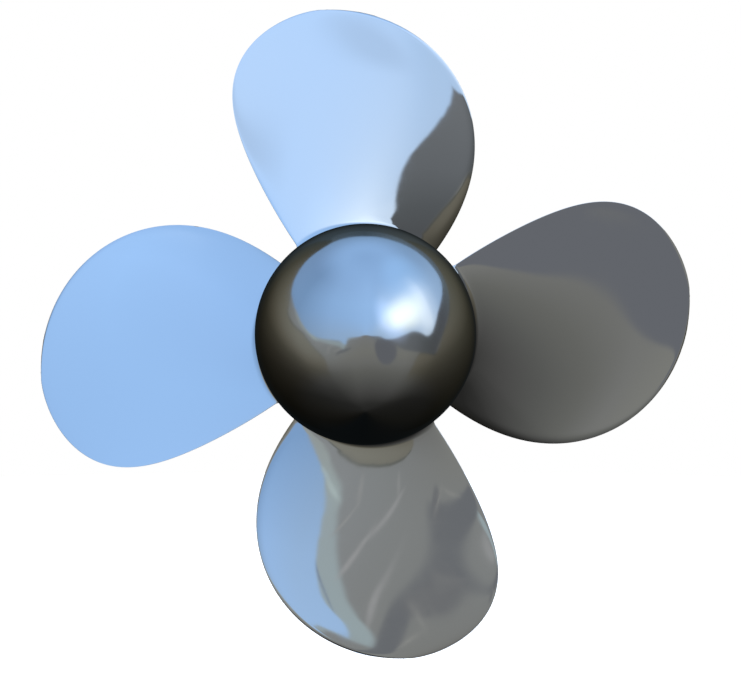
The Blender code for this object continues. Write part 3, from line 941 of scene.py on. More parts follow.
@dataclass
class Cap:
    """The hollow domed cap that closes the boss and covers the nut."""

    radius: float
    joint: float
    shoulder: float
    spigot_radius: float
    wall: float = 0.044
    skirt: float = 0.08
    dome_point: float = 0.08
    seat_gap: float = 0.0003
    edge_ease: float = 0.0012
    segments: int = 192
    dome_steps: int = 90
    inner_steps: int = 40

    def __post_init__(self) -> None:
        """Works out where the dome starts and how long it is."""
        self.base = self.joint + self.seat_gap - self.skirt
        self.length = self.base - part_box("boss_cap")[0][1]

    def dome_profile(self, radius: float, length: float, steps: int) -> Profile:
        """Returns the profile of the slightly pointed dome, from its base to its nose on the axis."""
        end = math.acos(self.dome_point / (1 + self.dome_point))
        stretch = length / math.sqrt(1 + 2 * self.dome_point)
        profile = []
        for step in range(steps + 1):
            bend = end * step / steps
            across = radius * ((1 + self.dome_point) * math.cos(bend) - self.dome_point)
            y = self.base - stretch * (1 + self.dome_point) * math.sin(bend)
            profile.append((max(0.0, across), y))
        profile[-1] = (0.0, self.base - length)
        return profile

    def skirt_normal(self, point: Vector) -> Vector | None:
        """Returns the outward normal on the cap's straight skirt, or None elsewhere."""
        return None if point.y < self.base - WELD else round_normal(point, self.radius)

    def build(self) -> bpy.types.Object:
        """Returns the cap as a piece without holes or finish."""
        inner_radius = self.radius - self.wall
        inner = self.dome_profile(inner_radius, self.length - self.wall, self.inner_steps)
        inner_joint = self.spigot_radius + self.seat_gap
        profile = [
            *reversed(inner),
            (inner_radius, self.shoulder),
            (inner_joint, self.shoulder),
            (inner_joint, self.joint),
            (self.radius, self.joint),
            *self.dome_profile(self.radius, self.length, self.dome_steps),
        ]
        mesh = bmesh.new()
        turn_profile(mesh, profile, self.segments, closed=False)
        ease_edges(mesh, self.edge_ease)
        return new_object("domed_cap", mesh)


@dataclass
class Fastenings:
    """Every screw and plug, at the places of the model's own."""

    casting: Casting
    # How far the radial heads lie below the surface
    recess: float = 0.0015
    cap_screw: Screw = Screw("cap_screw", "socket_screw", 8, 0.008, 0.044, 0.0125, 0.016, 0.007, 0.008)
    cap_plug: Screw = Screw("cap_plug", "filling_plug", 2, 0.010, 0.016, 0.0115, 0.009, 0.006, 0.006)
    boss_plug: Screw = Screw(
        "boss_plug", "lifting_thread_plug", 4, 0.016, 0.020, 0.018, 0.012, 0.009, 0.009
    )
    gland_screw: Screw = Screw("gland_screw", "gland_bolt", 8, 0.006, 0.046, 0.0105, 0.010)
    lock_screw: Screw = Screw("lock_screw", "locking_bolt", 2, 0.008, 0.050, 0.0135, 0.011)

    def sites(self, screw: Screw) -> list[Matrix]:
        """Finds where the screws of a kind sit, from the model's nodes.

        Args:
            screw: The kind of screw.

        Returns:
            A matrix for each screw, in the order of the nodes' numbers.
        """
        sites = []
        for index in range(1, screw.count + 1):
            node = f"{screw.node}_{index}"
            low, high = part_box(node)
            middle = node_centre(node)
            if screw is self.gland_screw:
                middle.y = high[1] - screw.height
                sites.append(axial_site(middle, forward=True))
            elif screw is self.lock_screw:
                middle.y = low[1] + screw.height
                sites.append(axial_site(middle, forward=False))
            else:
                seat = self.casting.radius - self.recess - screw.height
                sites.append(radial_site(seat, math.atan2(middle.x, middle.z), middle.y))
        return sites

    def drill_plain(self, piece: bpy.types.Object, screw: Screw) -> None:
        """Drills a hole for the shank of each screw of a kind."""
        drill(piece, screw.hole(), self.sites(screw), screw.hole_sides)

    def drill_sunk(self, piece: bpy.types.Object, screw: Screw) -> None:
        """Drills a hole with a counterbore for each screw of a kind."""
        drill(piece, screw.sunk_hole(screw.height + self.recess), self.sites(screw), screw.mouth_sides)


def dress(
    piece: bpy.types.Object, slot: Slot, nodes: list[str], materials: list[bpy.types.Material]
) -> None:
    """Gives a piece its finishes and hands it to the frame.

    Args:
        piece: The piece to dress.
        slot: The record's material slot for the piece; not used.
        nodes: The model nodes that it stands for.
        materials: Its materials, by the material index of its faces.
    """
    piece.data.materials.clear()
    for material in materials:
        piece.data.materials.append(material)
    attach(piece, BODY)
    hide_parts(*nodes)
    triangles = sum(len(face.vertices) - 2 for face in piece.data.polygons)
    logging.info("%s stands for %s: %d triangles", piece.name, ", ".join(nodes), triangles)


class Propeller:
    """The whole propeller: builds each sub-assembly, drills it and dresses it."""

    # Grooves between the seal's lips as a share of its section, and the lips' places from its aft side
    seal_groove = 0.45
    lip_starts = (0.005, 0.016)
    lip_depths = (0.0, 0.003, 0.005, 0.008)
    # Widths of the rounds on the edges of the smaller pieces
    gland_ease = 0.0015
    seal_ease = 0.0005
    gasket_ease = 0.0004
    plate_ease = 0.0012
    plate_corner = 0.012
    plate_corner_steps = 8
    # The shaft nut's sizes, its thread's pitch and depth, and the fineness of its mesh
    nut_bore = 0.09
    nut_chamfer = 0.012
    thread_pitch = 0.006
    thread_depth = 0.0035
    nut_columns = 144
    nut_rows = 92

    def __init__(self) -> None:
        """Makes the finishes and the shared sizes."""
        self.casting = Casting()
        self.fastenings = Fastenings(self.casting)
        self.blade_steel = MirrorPolish("mirror_polished_blade_steel", "#F3F3F3").material()
        cap_finish = MirrorPolish("mirror_polished_cap_steel", "#E1E1E0", roughness=0.1)
        self.cap_steel = cap_finish.material()
        self.turned_steel = TurnedSteel("turned_stainless_steel").material()
        self.satin_steel = SatinSteel("satin_fastener_steel").material()
        self.rubber = MouldedNitrile("moulded_nitrile_rubber").material()

    def build(self) -> None:
        """Builds every piece in order."""
        self.build_casting()
        self.build_cap()
        self.build_rings()
        self.build_nut()
        self.build_lock_plate()
        self.build_screws()

    def build_casting(self) -> None:
        """Builds the boss and blades with their holes."""
        fastenings = self.fastenings
        piece = self.casting.build()
        fastenings.drill_sunk(piece, fastenings.boss_plug)
        for screw in (fastenings.cap_screw, fastenings.gland_screw, fastenings.lock_screw):
            fastenings.drill_plain(piece, screw)
        true_normals(piece, self.casting.boss_normal)
        dress(piece, Slot.POLISHED, ["propeller_casting"], [self.blade_steel, self.turned_steel])
        # The photo shows no blade in the hub and no hub in a blade
        piece.visible_glossy = False

    def build_cap(self) -> None:
        """Builds the domed cap with its holes."""
        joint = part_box("boss_cap")[1][1]
        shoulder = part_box("cap_gasket")[0][1] - self.casting.seat_gap
        cap = Cap(self.casting.radius, joint, shoulder, self.casting.spigot_radius)
        piece = cap.build()
        for screw in (self.fastenings.cap_screw, self.fastenings.cap_plug):
            self.fastenings.drill_sunk(piece, screw)
        true_normals(piece, cap.skirt_normal)
        dress(piece, Slot.POLISHED, ["boss_cap"], [self.cap_steel])
        piece.visible_glossy = False

    def turned_ring(self, name: str, node: str, inner: float, ease: float) -> bpy.types.Object:
        """Returns a ring with eased edges that fills the box of a model node.

        Args:
            name: The piece's name.
            node: The model node that gives its place and outer radius.
            inner: Its inner radius.
            ease: Width of the round on its edges.

        Returns:
            The ring, without a finish.
        """
        low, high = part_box(node)
        outer = high[0]
        profile = [(inner, low[1]), (outer, low[1]), (outer, high[1]), (inner, high[1])]
        mesh = bmesh.new()
        turn_profile(mesh, profile, self.casting.segments, closed=True)
        ease_edges(mesh, ease)
        return new_object(name, mesh)

    def lip_profile(self) -> Profile:
        """Returns the profile of the shaft seal, with two lips that lean on the shaft."""
        low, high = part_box("forward_seal")
        outer, inner = high[0], self.casting.bore_forward
        floor = mix(inner, outer, self.seal_groove)
        lips = []
        for start in self.lip_starts:
            for depth, radius in zip(self.lip_depths, (floor, inner, inner, floor)):
                lips.append((radius, high[1] - start - depth))
        return [(outer, low[1]), (outer, high[1]), (floor, high[1]), *lips, (floor, low[1])]

    def build_rings(self) -> None:
        """Builds the gland ring, the shaft seal and the cap's gasket."""
        casting = self.casting
        gland = self.turned_ring("gland_flange", "gland_ring", casting.bore_forward, self.gland_ease)
        self.fastenings.drill_plain(gland, self.fastenings.gland_screw)
        dress(gland, Slot.MACHINED, ["gland_ring"], [self.turned_steel])
        mesh = bmesh.new()
        turn_profile(mesh, self.lip_profile(), casting.segments, closed=True)
        ease_edges(mesh, self.seal_ease)
        seal = new_object("lip_seal", mesh)
        dress(seal, Slot.RUBBER, ["forward_seal"], [self.rubber])
        gasket = self.turned_ring("flat_gasket", "cap_gasket", casting.radius - Cap.wall, self.gasket_ease)
        dress(gasket, Slot.RUBBER, ["cap_gasket"], [self.rubber])

    def build_nut(self) -> None:
        """Builds the hexagonal shaft nut with its chamfers and its internal thread."""
        low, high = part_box("propeller_nut")
        bore, chamfer, corner = self.nut_bore, self.nut_chamfer, high[0]
        columns, rows = self.nut_columns, self.nut_rows
        mesh = bmesh.new()
        profile = [
            (bore + chamfer / 2, low[1]),
            (corner - 2 * chamfer, low[1]),
            (corner, low[1] + chamfer),
            (corner, high[1] - chamfer),
            (corner - 2 * chamfer, high[1]),
            (bore + chamfer / 2, high[1]),
        ]
        turn_profile(mesh, profile, columns, closed=False)
        inscribed = corner * math.cos(HEX_STEP / 2)
        for vertex in mesh.verts:
            radius = math.hypot(vertex.co.x, vertex.co.z)
            if radius < bore + chamfer:
                continue
            angle = math.atan2(vertex.co.x, vertex.co.z)
            factor = hexagon_factor(angle + HEX_STEP / 2)
            if radius < corner - chamfer:
                # The flat of the end stays inside the six sides
                factor = min(1.0, (inscribed - chamfer / 3) / radius)
            else:
                # The chamfer dips towards the corners
                dip = (corner * factor - inscribed) * CORNER_SLOPE + chamfer / 6
                end = low[1] + dip if vertex.co.y < (low[1] + high[1]) / 2 else high[1] - dip
                vertex.co.y = end
            vertex.co.x *= factor
            vertex.co.z *= factor

        def place(column: int, row: int) -> Vector:
            share = row / rows
            y = mix(low[1], high[1], share)
            turn = column / columns
            inside = min(share, 1 - share) * (high[1] - low[1])
            flare = max(0.0, 1 - inside / (chamfer / 2))
            tooth = 2 * abs(((y - low[1]) / self.thread_pitch - turn) % 1.0 - 0.5)
            radius = bore + self.thread_depth * tooth * (1 - flare) + flare * chamfer / 2
            return polar_point(radius, FULL_TURN * (column % columns) / columns, y)

        wrap_grid(mesh, columns, rows, place)
        bmesh.ops.remove_doubles(mesh, verts=mesh.verts, dist=WELD)
        bmesh.ops.recalc_face_normals(mesh, faces=mesh.faces)
        nut = new_object("hexagon_shaft_nut", mesh)
        dress(nut, Slot.MACHINED, ["propeller_nut"], [self.turned_steel])

    def build_lock_plate(self) -> None:
        """Builds the plate that stops the nut from turning."""
        low, high = (Vector(corner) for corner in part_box("nut_lock_plate"))
        mesh = bmesh.new()
        size = Matrix.Diagonal((*(high - low), 1.0))
        bmesh.ops.create_cube(mesh, size=1.0, matrix=Matrix.Translation((low + high) / 2) @ size)
        upright = [edge for edge in mesh.edges if abs((edge.verts[0].co - edge.verts[1].co).y) > WELD]
        top = [edge for edge in upright if edge.verts[0].co.z > (low.z + high.z) / 2]
        round_edges(mesh, top, self.plate_corner, self.plate_corner_steps)
        ease_edges(mesh, self.plate_ease)
        plate = new_object("locking_plate", mesh)
        self.fastenings.drill_plain(plate, self.fastenings.lock_screw)
        dress(plate, Slot.MACHINED, ["nut_lock_plate"], [self.turned_steel])

    def build_screws(self) -> None:
        """Builds every screw and plug."""
        kinds = self.fastenings
        for screw in (kinds.cap_screw, kinds.cap_plug, kinds.boss_plug, kinds.gland_screw, kinds.lock_screw):
            for index, site in enumerate(kinds.sites(screw), start=1):
                piece = screw.place(f"{screw.name}_{index}", site)
                dress(piece, Slot.SCREW, [f"{screw.node}_{index}"], [self.satin_steel])


@dataclass(frozen=True)
class Camera:
    """The camera on the shaft axis, aft of the propeller."""

    disc_y: float
    distance: float = 6.4
    image_width: float = 741.0
    image_height: float = 685.0
    # Where the photograph shows the disc's centre, and its focal length, in its own pixels
    centre_x: float = 365.45
    centre_y: float = 334.4
    focal_pixels: float = 1748.0
    sensor: float = 36.0

    def build(self) -> None:
        """Makes the camera and points it so that the disc's centre falls where it should."""
        data = bpy.data.cameras.new("aft_camera")
        data.sensor_width = self.sensor
        data.lens = self.sensor * self.focal_pixels / self.image_width
        camera = bpy.data.objects.new("aft_camera", data)
        bpy.context.scene.collection.objects.link(camera)
        camera.location = (0.0, self.disc_y - self.distance, 0.0)
        metres = self.distance / self.focal_pixels
        across = (self.image_width / 2 - self.centre_x) * metres
        up = (self.centre_y - self.image_height / 2) * metres
        aim = Vector((across, self.disc_y, up))
        camera.rotation_euler = (aim - camera.location).to_track_quat("-Z", "Y").to_euler()
        bpy.context.scene.camera = camera


@dataclass(frozen=True)
class Patch:
    """A soft-edged oval of another colour in the surroundings, with its places and sizes in degrees."""

    azimuth: float
    elevation: float
    half_width: float
    half_height: float
    colour: str
    strength: float = 1.0
    softness: float = 0.3
    tilt: float = 0.0


@dataclass
class Surroundings:
    """The pale floor, the soft light, and the sky and ground that the polished steel mirrors.

    Azimuths in degrees run from 0 towards the camera, through 90 on the right, to 180 behind the
    propeller, and elevations from -90 to 90. Colours are as the blades show them.
    """

    floor_gap: float = 0.05
    floor_radius: float = 9.0
    floor_sides: int = 96
    floor_roughness: float = 0.9
    # Each soft panel's name, place and power in watts
    panels: tuple[tuple[str, tuple[float, float, float], float], ...] = (
        ("key_panel", (-3.0, -4.0, 3.5), 160.0),
        ("back_panel", (3.0, 4.0, 3.0), 120.0),
    )
    panel_size: float = 2.5
    # Share of the light that the blades' steel mirrors
    mirrored_share: float = 0.9
    # The trees' ragged edge: its fineness, and its height as a share of 180 degrees
    ridge_scale: float = 4.0
    ridge_height: float = 0.02
    # Half the softness of the skyline, of the bank's lower edge and of the fields' edge, in degrees
    skyline_blur: float = 0.6
    bank_blur: float = 1.0
    field_blur: float = 3.0
    # Elevations between which the sky grows alike on all sides, and between which the fields come in
    sky_side_fade: tuple[float, float] = (50, 78)
    field_fade: tuple[float, float] = (-50, -30)
    # Lines round the horizon as azimuth and elevation. The skyline is where banks and trees meet the sky
    skyline: Line = (
        (-180, 56), (-160, 53), (-140, 50), (-120, 40), (-100, 27), (-88, 20.5), (-80, 15),
        (-70, 6.5), (-63, 0.5), (-58, -2), (-42, -5.5), (-36, -6.8), (-32, -8.7), (-29.5, -12),
        (-27, -13), (-25, -5), (0, -4), (20, -3), (30, -6), (36, -5), (42, -2.5), (48, 0), (58, 3),
        (67, 0.5), (71, -1), (75, 0), (79, 4.5), (83, 10), (90, 18.5), (100, 24.5), (120, 33),
        (140, 46), (160, 54), (180, 56),
    )
    # The lower edge of the pale shore on the left and of the dark trees on the right
    bank: Line = (
        (-180, 44), (-165, 43), (-150, 51), (-140, 50), (-120, 40), (-100, 27), (-90, 21),
        (-80, 11.5), (-70, 3), (-65, -1), (-58, -6), (-50, -8), (-42, -11), (-35, -13.8),
        (-32, -15.5), (-30.5, -17.5), (-28, -18), (-25.5, -8), (-15, -7), (8, -8), (36, -13),
        (50, -16), (82, -16.3), (86, -8), (92, 3), (104, 15), (120, 26), (140, 37), (160, 44),
        (180, 44),
    )
    # The upper edge of the brown fields on the left and on the right
    field_edge: Line = (
        (-180, -90), (-168, -90), (-152, 70), (-120, 60), (-95, 16), (-85, 8), (-77, 4), (-73, 2),
        (-70, -1), (-60, -14), (-55, -20), (-51, -25), (-50, -35), (-49, -90), (54, -90),
        (60, -40), (66, -17), (84, -16), (90, -1), (104, 14), (120, 30), (140, 60), (152, 70),
        (168, -90), (180, -90),
    )
    # The skyline without its small dips, from which the ground darkens downwards
    horizon: Line = (
        (-180, 56), (-120, 40), (-88, 20), (-60, -1), (-35, -7), (0, -5), (40, -2), (70, 4),
        (90, 18), (120, 33), (180, 56),
    )
    # How much sun glare lies over the sky, by azimuth and by elevation
    glare_by_azimuth: Line = (
        (-180, 0), (8, 0), (25, 0.12), (45, 0.18), (55, 0.25), (65, 0.38), (74, 0.5), (80, 0.32),
        (90, 0.16), (100, 0.08), (120, 0.05), (180, 0),
    )
    glare_by_elevation: Line = (
        (-90, 0.4), (0, 0.55), (15, 1), (30, 1), (40, 0.75), (52, 0.15), (62, 0), (90, 0),
    )
    # How far the ground is the lighter kind on the right
    lit_by_azimuth: Line = (
        (-180, 0), (-60, 0.1), (-45, 0.3), (-25, 0.7), (0, 1), (40, 1), (80, 0.5), (180, 0),
    )
    sky_patches: tuple[Patch, ...] = (Patch(31, 15, 4, 7, "#A3BEE0", 0.6, 0.6),)
    ground_patches: tuple[Patch, ...] = (
        Patch(27, -20.5, 12.5, 14.6, "#62656B", 1.0, 0.06),
        Patch(-45.8, -17.5, 2.8, 0.5, "#98999A", 0.7, 0.6, 85),
        Patch(-42.8, -13.2, 3.6, 0.5, "#98999A", 0.8, 0.6, 30),
        Patch(-35.5, -18, 4, 0.5, "#98999A", 0.7, 0.6, 15),
        Patch(-56.5, -10.6, 3.5, 0.5, "#8C8E8E", 0.7, 0.6, -10),
        Patch(-51, -9.3, 2.6, 0.4, "#8F9191", 0.7, 0.6, 38),
        Patch(-48.5, -20, 2.6, 0.4, "#8A8C8C", 0.7, 0.6, 15),
        Patch(-29, -20.1, 9.0, 1.7, "#66696D", 1.0, 0.18, 12),
        Patch(-36.1, -22.9, 1.0, 1.5, "#686A6D", 0.9, 0.3),
        Patch(-35.4, -23.0, 1.6, 0.16, "#8E8F8C", 0.8, 0.7, -52),
        Patch(-32, -23, 2.0, 0.18, "#8E8F8C", 0.8, 0.7, 29),
        Patch(-38, -7.2, 7.5, 0.35, "#6F7D90", 0.8, 0.5, -22),
        Patch(-60.5, -2.7, 5.0, 0.5, "#A9B8B8", 0.7, 0.6, -42),
        Patch(-66, 2.2, 3.5, 0.4, "#A3B4B8", 0.7, 0.6, -45),
    )

    def build(self) -> None:
        """Makes the floor, the lights and the world."""
        self.build_floor()
        self.build_lights()
        self.build_world()
        bpy.context.scene.view_settings.view_transform = "Standard"

    def build_floor(self) -> None:
        """Makes the round pale floor just below the blades."""
        mesh = bmesh.new()
        matrix = Matrix.Translation((0.0, 0.0, cad_low[2] - self.floor_gap))
        bmesh.ops.create_circle(
            mesh, cap_ends=True, segments=self.floor_sides, radius=self.floor_radius, matrix=matrix
        )
        floor = new_object("studio_floor", mesh)
        material, shader, _ = start_material("pale_floor")
        shader.inputs["Base Color"].default_value = linear("#FFFFFF")
        shader.inputs["Roughness"].default_value = self.floor_roughness
        shader.inputs["Emission Color"].default_value = linear("#FFFFFF")
        shader.inputs["Emission Strength"].default_value = 1.0
        floor.data.materials.append(material)
        floor.visible_glossy = False

    def build_lights(self) -> None:
        """Makes the soft panels that light what isn't a mirror."""
        for name, place, power in self.panels:
            data = bpy.data.lights.new(name, "AREA")
            data.size = self.panel_size
            data.energy = power
            panel = bpy.data.objects.new(name, data)
            panel.location = place
            panel.rotation_euler = (-Vector(place)).to_track_quat("-Z", "Y").to_euler()
            panel.visible_glossy = False
            bpy.context.scene.collection.objects.link(panel)

    def build_world(self) -> None:
        """Makes the world: white to the camera, and sky over dark ground to the steel."""
        world = bpy.data.worlds.new("sky_and_ground")
        world.use_nodes = True
        bpy.context.scene.world = world
        tree = world.node_tree
        tree.nodes.clear()
        way = add_node(tree, "TexCoord").outputs["Generated"]
        axes = add_node(tree, "SeparateXYZ", {0: way})
        aft = add_node(tree, "Math", {0: axes.outputs["Y"], 1: -1.0}, {"operation": "MULTIPLY"})
        heading = add_node(tree, "Math", {0: axes.outputs["X"], 1: aft}, {"operation": "ARCTAN2"})
        rise = add_node(tree, "Math", {0: axes.outputs["Z"]}, {"operation": "ARCSINE"})
        # Shares from 0 to 1 for azimuths from -180 to 180 and for elevations from -90 to 90
        azimuth = add_node(
            tree, "Math", {0: heading, 1: 1 / FULL_TURN, 2: 0.5}, {"operation": "MULTIPLY_ADD"}
        )
        elevation = add_node(tree, "Math", {0: rise, 1: 1 / math.pi, 2: 0.5}, {"operation": "MULTIPLY_ADD"})
        ridge = add_node(tree, "TexNoise", {"Vector": way, "Scale": self.ridge_scale, "Detail": 3.0})
        ragged = add_node(
            tree, "Math", {0: ridge, 1: self.ridge_height, 2: elevation}, {"operation": "MULTIPLY_ADD"}
        )
        level = add_node(tree, "Math", {0: ragged, 1: self.ridge_height / 2}, {"operation": "SUBTRACT"})
        skyline = self.line(tree, azimuth, self.skyline)
        above_sky = self.above(tree, level, skyline, self.skyline_blur)
        horizon = self.line(tree, azimuth, self.horizon)
        depth = add_node(tree, "Math", {0: horizon, 1: elevation}, {"operation": "SUBTRACT"})
        degrees = add_node(tree, "CombineXYZ", {0: azimuth, 1: elevation})
        chart = add_node(
            tree,
            "VectorMath",
            {0: degrees, 1: (360, 180, 0), 2: (-180, -90, 0)},
            {"operation": "MULTIPLY_ADD"},
        )
        sky = self.add_patches(tree, chart, self.sky(tree, azimuth, elevation), self.sky_patches)
        ground = self.ground(tree, azimuth, level, depth)
        ground = self.add_patches(tree, chart, ground, self.ground_patches)
        seen = add_node(tree, "Mix", {"Factor": above_sky, 6: ground, 7: sky}, BLEND).outputs[2]
        mirrored = add_node(tree, "Background", {"Color": seen, "Strength": 1 / self.mirrored_share})
        white = add_node(tree, "Background", {"Color": linear("#FFFFFF")})
        ray = add_node(tree, "LightPath").outputs["Is Camera Ray"]
        both = add_node(tree, "MixShader", {0: ray, 1: mirrored, 2: white})
        add_node(tree, "OutputWorld", {"Surface": both})

    def line(self, tree: bpy.types.NodeTree, azimuth: bpy.types.Node, points: Line) -> bpy.types.Node:
        """Adds the curve of a line round the horizon.

        Args:
            tree: The world's node tree.
            azimuth: The azimuth's share.
            points: Azimuth and elevation of the line's points, in degrees.

        Returns:
            The node that gives the line's elevation as a share.
        """
        stops = [((turn + 180) / 360, elevation_share(height)) for turn, height in points]
        return add_node(tree, "FloatCurve", {"Value": azimuth}, stops=stops)

    def amount(
        self, tree: bpy.types.NodeTree, share: bpy.types.Node, points: Line, span: float
    ) -> bpy.types.Node:
        """Adds the curve of an amount by azimuth or by elevation.

        Args:
            tree: The world's node tree.
            share: The azimuth's or the elevation's share.
            points: Angle in degrees and amount at the curve's points.
            span: Degrees from a share of 0 to a share of 1.

        Returns:
            The node that gives the amount.
        """
        stops = [((angle + span / 2) / span, value) for angle, value in points]
        return add_node(tree, "FloatCurve", {"Value": share}, stops=stops)

    def above(
        self, tree: bpy.types.NodeTree, level: bpy.types.Node, line: bpy.types.Node, blur: float
    ) -> bpy.types.Node:
        """Adds the test whether a direction lies above a line round the horizon.

        Args:
            tree: The world's node tree.
            level: The elevation's share.
            line: The line's elevation as a share.
            blur: Half the width in degrees over which the test turns from 0 to 1.

        Returns:
            The node that gives 0 below the line and 1 above it.
        """
        over = add_node(tree, "Math", {0: level, 1: line}, {"operation": "SUBTRACT"})
        return add_node(
            tree,
            "MapRange",
            {"Value": over, "From Min": -blur / 180, "From Max": blur / 180},
            SMOOTH,
        )

    def add_patches(
        self,
        tree: bpy.types.NodeTree,
        chart: bpy.types.Node,
        colour: bpy.types.NodeSocket,
        patches: tuple[Patch, ...],
    ) -> bpy.types.NodeSocket:
        """Lays soft ovals over a colour.

        Args:
            tree: The world's node tree.
            chart: Azimuth and elevation in degrees, as a vector.
            colour: The colour below.
            patches: The ovals.

        Returns:
            The colour with the ovals.
        """
        for patch in patches:
            middle, half_sizes = (patch.azimuth, patch.elevation), (patch.half_width, patch.half_height)
            share = add_node(
                tree,
                "MapRange",
                {
                    "Value": oval(tree, chart, middle, half_sizes, patch.tilt),
                    "From Min": 1 + patch.softness,
                    "From Max": 1 - patch.softness,
                    "To Max": patch.strength,
                },
                SMOOTH,
            )
            colour = add_node(
                tree, "Mix", {"Factor": share, 6: colour, 7: linear(patch.colour)}, BLEND
            ).outputs[2]
        return colour

    def sky(
        self, tree: bpy.types.NodeTree, azimuth: bpy.types.Node, elevation: bpy.types.Node
    ) -> bpy.types.NodeSocket:
        """Adds the sky: blue overhead, paler low down, and white towards the sun on the right.

        Args:
            tree: The world's node tree.
            azimuth: The azimuth's share.
            elevation: The elevation's share.

        Returns:
            The sky's colour.
        """
        height_stops = [
            (0.5, "#9FBFE5"), (0.56, "#9EC2EE"), (0.62, "#9DC5F6"), (0.7, "#9EC7F9"),
            (0.8, "#9BC3F5"), (0.87, "#96BEF0"), (1.0, "#8EB5E6"),
        ]
        blue = add_node(tree, "ValToRGB", {"Fac": elevation}, stops=height_stops)
        side_stops = [
            (0.0, "#CCCCC8"), (0.17, "#CACACB"), (0.27, "#C8CBCD"), (0.38, "#EEEFF0"),
            (0.51, "#FFFFFF"), (0.62, "#F5F5F5"), (0.83, "#DEDCD9"), (1.0, "#CCCCC8"),
        ]
        side = add_node(tree, "ValToRGB", {"Fac": azimuth}, stops=side_stops)
        low = add_node(
            tree,
            "MapRange",
            {
                "Value": elevation,
                "From Min": elevation_share(self.sky_side_fade[1]),
                "From Max": elevation_share(self.sky_side_fade[0]),
            },
            SMOOTH,
        )
        deep = add_node(tree, "Mix", {"Factor": low, 6: blue, 7: side}, MULTIPLIED)
        across = self.amount(tree, azimuth, self.glare_by_azimuth, 360)
        upwards = self.amount(tree, elevation, self.glare_by_elevation, 180)
        glare = add_node(tree, "Math", {0: across, 1: upwards}, {"operation": "MULTIPLY"})
        return add_node(
            tree,
            "Mix",
            {"Factor": glare, 6: deep.outputs[2], 7: linear("#FFFBE8")},
            ADDED,
        ).outputs[2]

    def ground(
        self,
        tree: bpy.types.NodeTree,
        azimuth: bpy.types.Node,
        level: bpy.types.Node,
        depth: bpy.types.Node,
    ) -> bpy.types.NodeSocket:
        """Adds the ground: grey near the skyline, nearly black underfoot and behind.

        Args:
            tree: The world's node tree.
            azimuth: The azimuth's share.
            level: The elevation's share.
            depth: How far below the horizon line, as a share of 180 degrees.

        Returns:
            The ground's colour.
        """
        shaded_stops = [
            (0.03, "#828688"), (0.07, "#7E8283"), (0.11, "#787B7C"), (0.15, "#6A6B6A"),
            (0.195, "#50514F"), (0.25, "#3E3E3D"), (0.31, "#30302F"), (0.42, "#232322"),
        ]
        shaded = add_node(tree, "ValToRGB", {"Fac": depth}, stops=shaded_stops)
        lit_stops = [
            (0.03, "#7A7C7C"), (0.11, "#787975"), (0.165, "#717270"), (0.22, "#636461"),
            (0.28, "#565755"), (0.335, "#4A4A49"), (0.42, "#2D2D2C"), (0.5, "#232322"),
        ]
        lit = add_node(tree, "ValToRGB", {"Fac": depth}, stops=lit_stops)
        side = self.amount(tree, azimuth, self.lit_by_azimuth, 360)
        open_ground = add_node(tree, "Mix", {"Factor": side, 6: shaded, 7: lit}, BLEND)
        # The brown fields start at a thin dark ditch and fade underfoot
        field_edge = self.line(tree, azimuth, self.field_edge)
        off_edge = add_node(tree, "Math", {0: level, 1: field_edge}, {"operation": "SUBTRACT"})
        near_edge = add_node(
            tree,
            "MapRange",
            {"Value": off_edge, "From Min": -self.field_blur / 180, "From Max": self.field_blur / 180},
        )
        tint_stops = [
            (0.0, "#F0E9D8"), (0.34, "#EBE4D4"), (0.46, "#C8C7BF"), (0.54, "#C8C7BF"), (0.66, "#FFFFFF")
        ]
        tint = add_node(tree, "ValToRGB", {"Fac": near_edge}, stops=tint_stops)
        far = add_node(
            tree,
            "MapRange",
            {
                "Value": level,
                "From Min": elevation_share(self.field_fade[0]),
                "From Max": elevation_share(self.field_fade[1]),
            },
            SMOOTH,
        )
        farmed = add_node(tree, "Mix", {"Factor": far, 6: open_ground.outputs[2], 7: tint}, MULTIPLIED)
        # Light falls off to the sides and behind, where buildings and trees shade the ground
        behind = [
            (0.0, "#75858F"), (0.056, "#7C8C98"), (0.11, "#9A998F"), (0.167, "#C8C4BA"),
            (0.22, "#E8E6E0"), (0.28, "#FFFFFF"), (0.64, "#FFFFFF"), (0.7, "#E9E8E6"),
            (0.76, "#DCDBD8"), (0.833, "#C8C8C2"), (0.89, "#B4B4AA"), (0.944, "#8C9496"),
            (1.0, "#75858F"),
        ]
        shade = add_node(tree, "ValToRGB", {"Fac": azimuth}, stops=behind)
        shaded_ground = add_node(tree, "Mix", {"Factor": 1.0, 6: farmed.outputs[2], 7: shade}, MULTIPLIED)
        bank_stops = [
            (0.0, "#3F4C56"), (0.055, "#46525B"), (0.25, "#8E9391"), (0.33, "#949FA0"),
            (0.36, "#939FA3"), (0.42, "#93A1A5"), (0.46, "#85898D"), (0.5, "#83888C"),
            (0.54, "#73777B"), (0.6, "#696D71"), (0.66, "#606468"), (0.695, "#525659"),
            (0.722, "#4C4F52"), (0.76, "#50545A"), (0.83, "#5C666C"), (0.89, "#5A6876"),
            (0.944, "#56646F"), (1.0, "#3F4C56"),
        ]
        bank = add_node(tree, "ValToRGB", {"Fac": azimuth}, stops=bank_stops)
        above_bank = self.above(tree, level, self.line(tree, azimuth, self.bank), self.bank_blur)
        return add_node(
            tree, "Mix", {"Factor": above_bank, 6: shaded_ground.outputs[2], 7: bank}, BLEND
        ).outputs[2]


@dataclass(frozen=True)
class Glow:
    """A soft oval area light, with its place and sizes in metres and its tilt in degrees."""

    name: str
    place: tuple[float, float, float]
    width: float
    height: float
    tilt: float
    colour: str
    strength: float


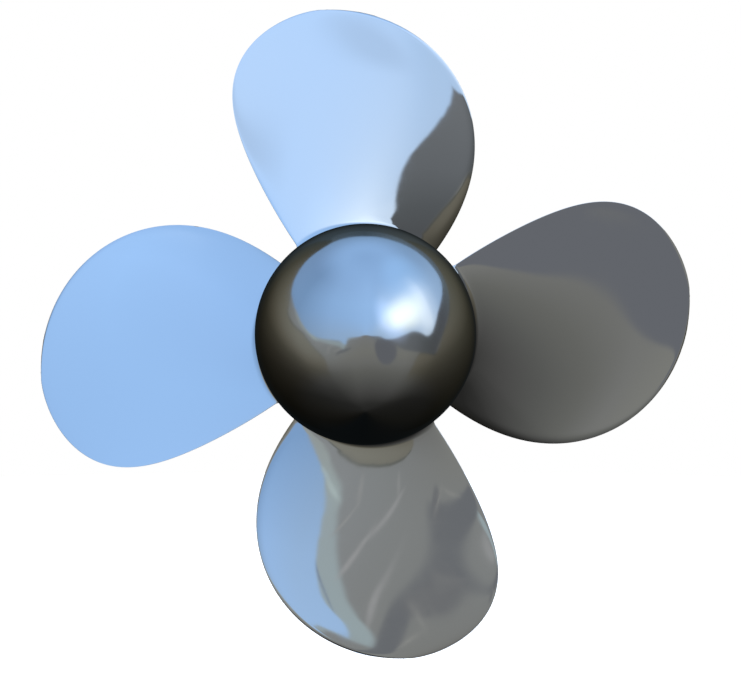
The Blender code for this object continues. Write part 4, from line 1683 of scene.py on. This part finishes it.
@dataclass
class CapGlows:
    """Soft area lights close to the cap, which shine in it as the photo's low sun."""

    # The side of the cap that the lights are on
    azimuth: float = math.radians(50)
    elevation: float = math.radians(26)
    glows: tuple[Glow, ...] = (
        Glow("sun_glow", (0.3, -1.18, 0.16), 0.5, 0.4, 20, "#FFF5B0", 0.75),
        Glow("haze_glow", (0.24, -1.29, 0.13), 0.7, 0.35, -70, "#B8D0FF", 0.45),
        Glow("sky_glow", (0.28, -1.0, 0.43), 1.0, 0.6, 65, "#90C8FF", 0.2),
    )

    def build(self) -> None:
        """Makes the lights."""
        level = math.cos(self.elevation)
        out = Vector(
            (level * math.sin(self.azimuth), -level * math.cos(self.azimuth), math.sin(self.elevation))
        )
        facing = out.to_track_quat("Z", "Y").to_matrix()
        for glow in self.glows:
            self.build_glow(glow, facing)

    def build_glow(self, glow: Glow, facing: Matrix) -> None:
        """Makes one light, brightest in its middle and fading to its rim.

        Args:
            glow: The light's name, place, sizes and colour.
            facing: The turn whose Z axis points away from the cap.
        """
        data = bpy.data.lights.new(glow.name, "AREA")
        data.shape = "ELLIPSE"
        data.size = glow.width
        data.size_y = glow.height
        # So that a strength of 1 shows as white in a mirror
        data.energy = math.pi * math.pi * glow.width * glow.height / 4
        data.use_nodes = True
        tree = data.node_tree
        tree.nodes.clear()
        # Places on a light run from 0 to 1 both ways
        place = add_node(tree, "NewGeometry").outputs["Parametric"]
        reach = oval(tree, place, (0.5, 0.5), (0.5, 0.5))
        share = add_node(
            tree,
            "MapRange",
            {"Value": reach, "From Min": 1.0, "From Max": 0.0, "To Max": glow.strength},
            {"interpolation_type": "SMOOTHERSTEP"},
        )
        shine = add_node(tree, "Emission", {"Color": linear(glow.colour), "Strength": share})
        add_node(tree, "OutputLight", {"Surface": shine})
        lamp = bpy.data.objects.new(glow.name, data)
        lamp.location = glow.place
        lamp.rotation_euler = (facing @ Matrix.Rotation(math.radians(glow.tilt), 3, "Z")).to_euler()
        lamp.visible_camera = False
        lamp.visible_diffuse = False
        bpy.context.scene.collection.objects.link(lamp)


def main() -> None:
    """Builds the propeller, the camera and the surroundings."""
    logging.basicConfig(level=logging.INFO, format="%(message)s")
    propeller = Propeller()
    propeller.build()
    Camera(-propeller.casting.disc_setback).build()
    Surroundings().build()
    CapGlows().build()


if __name__ == "__main__":
    main()
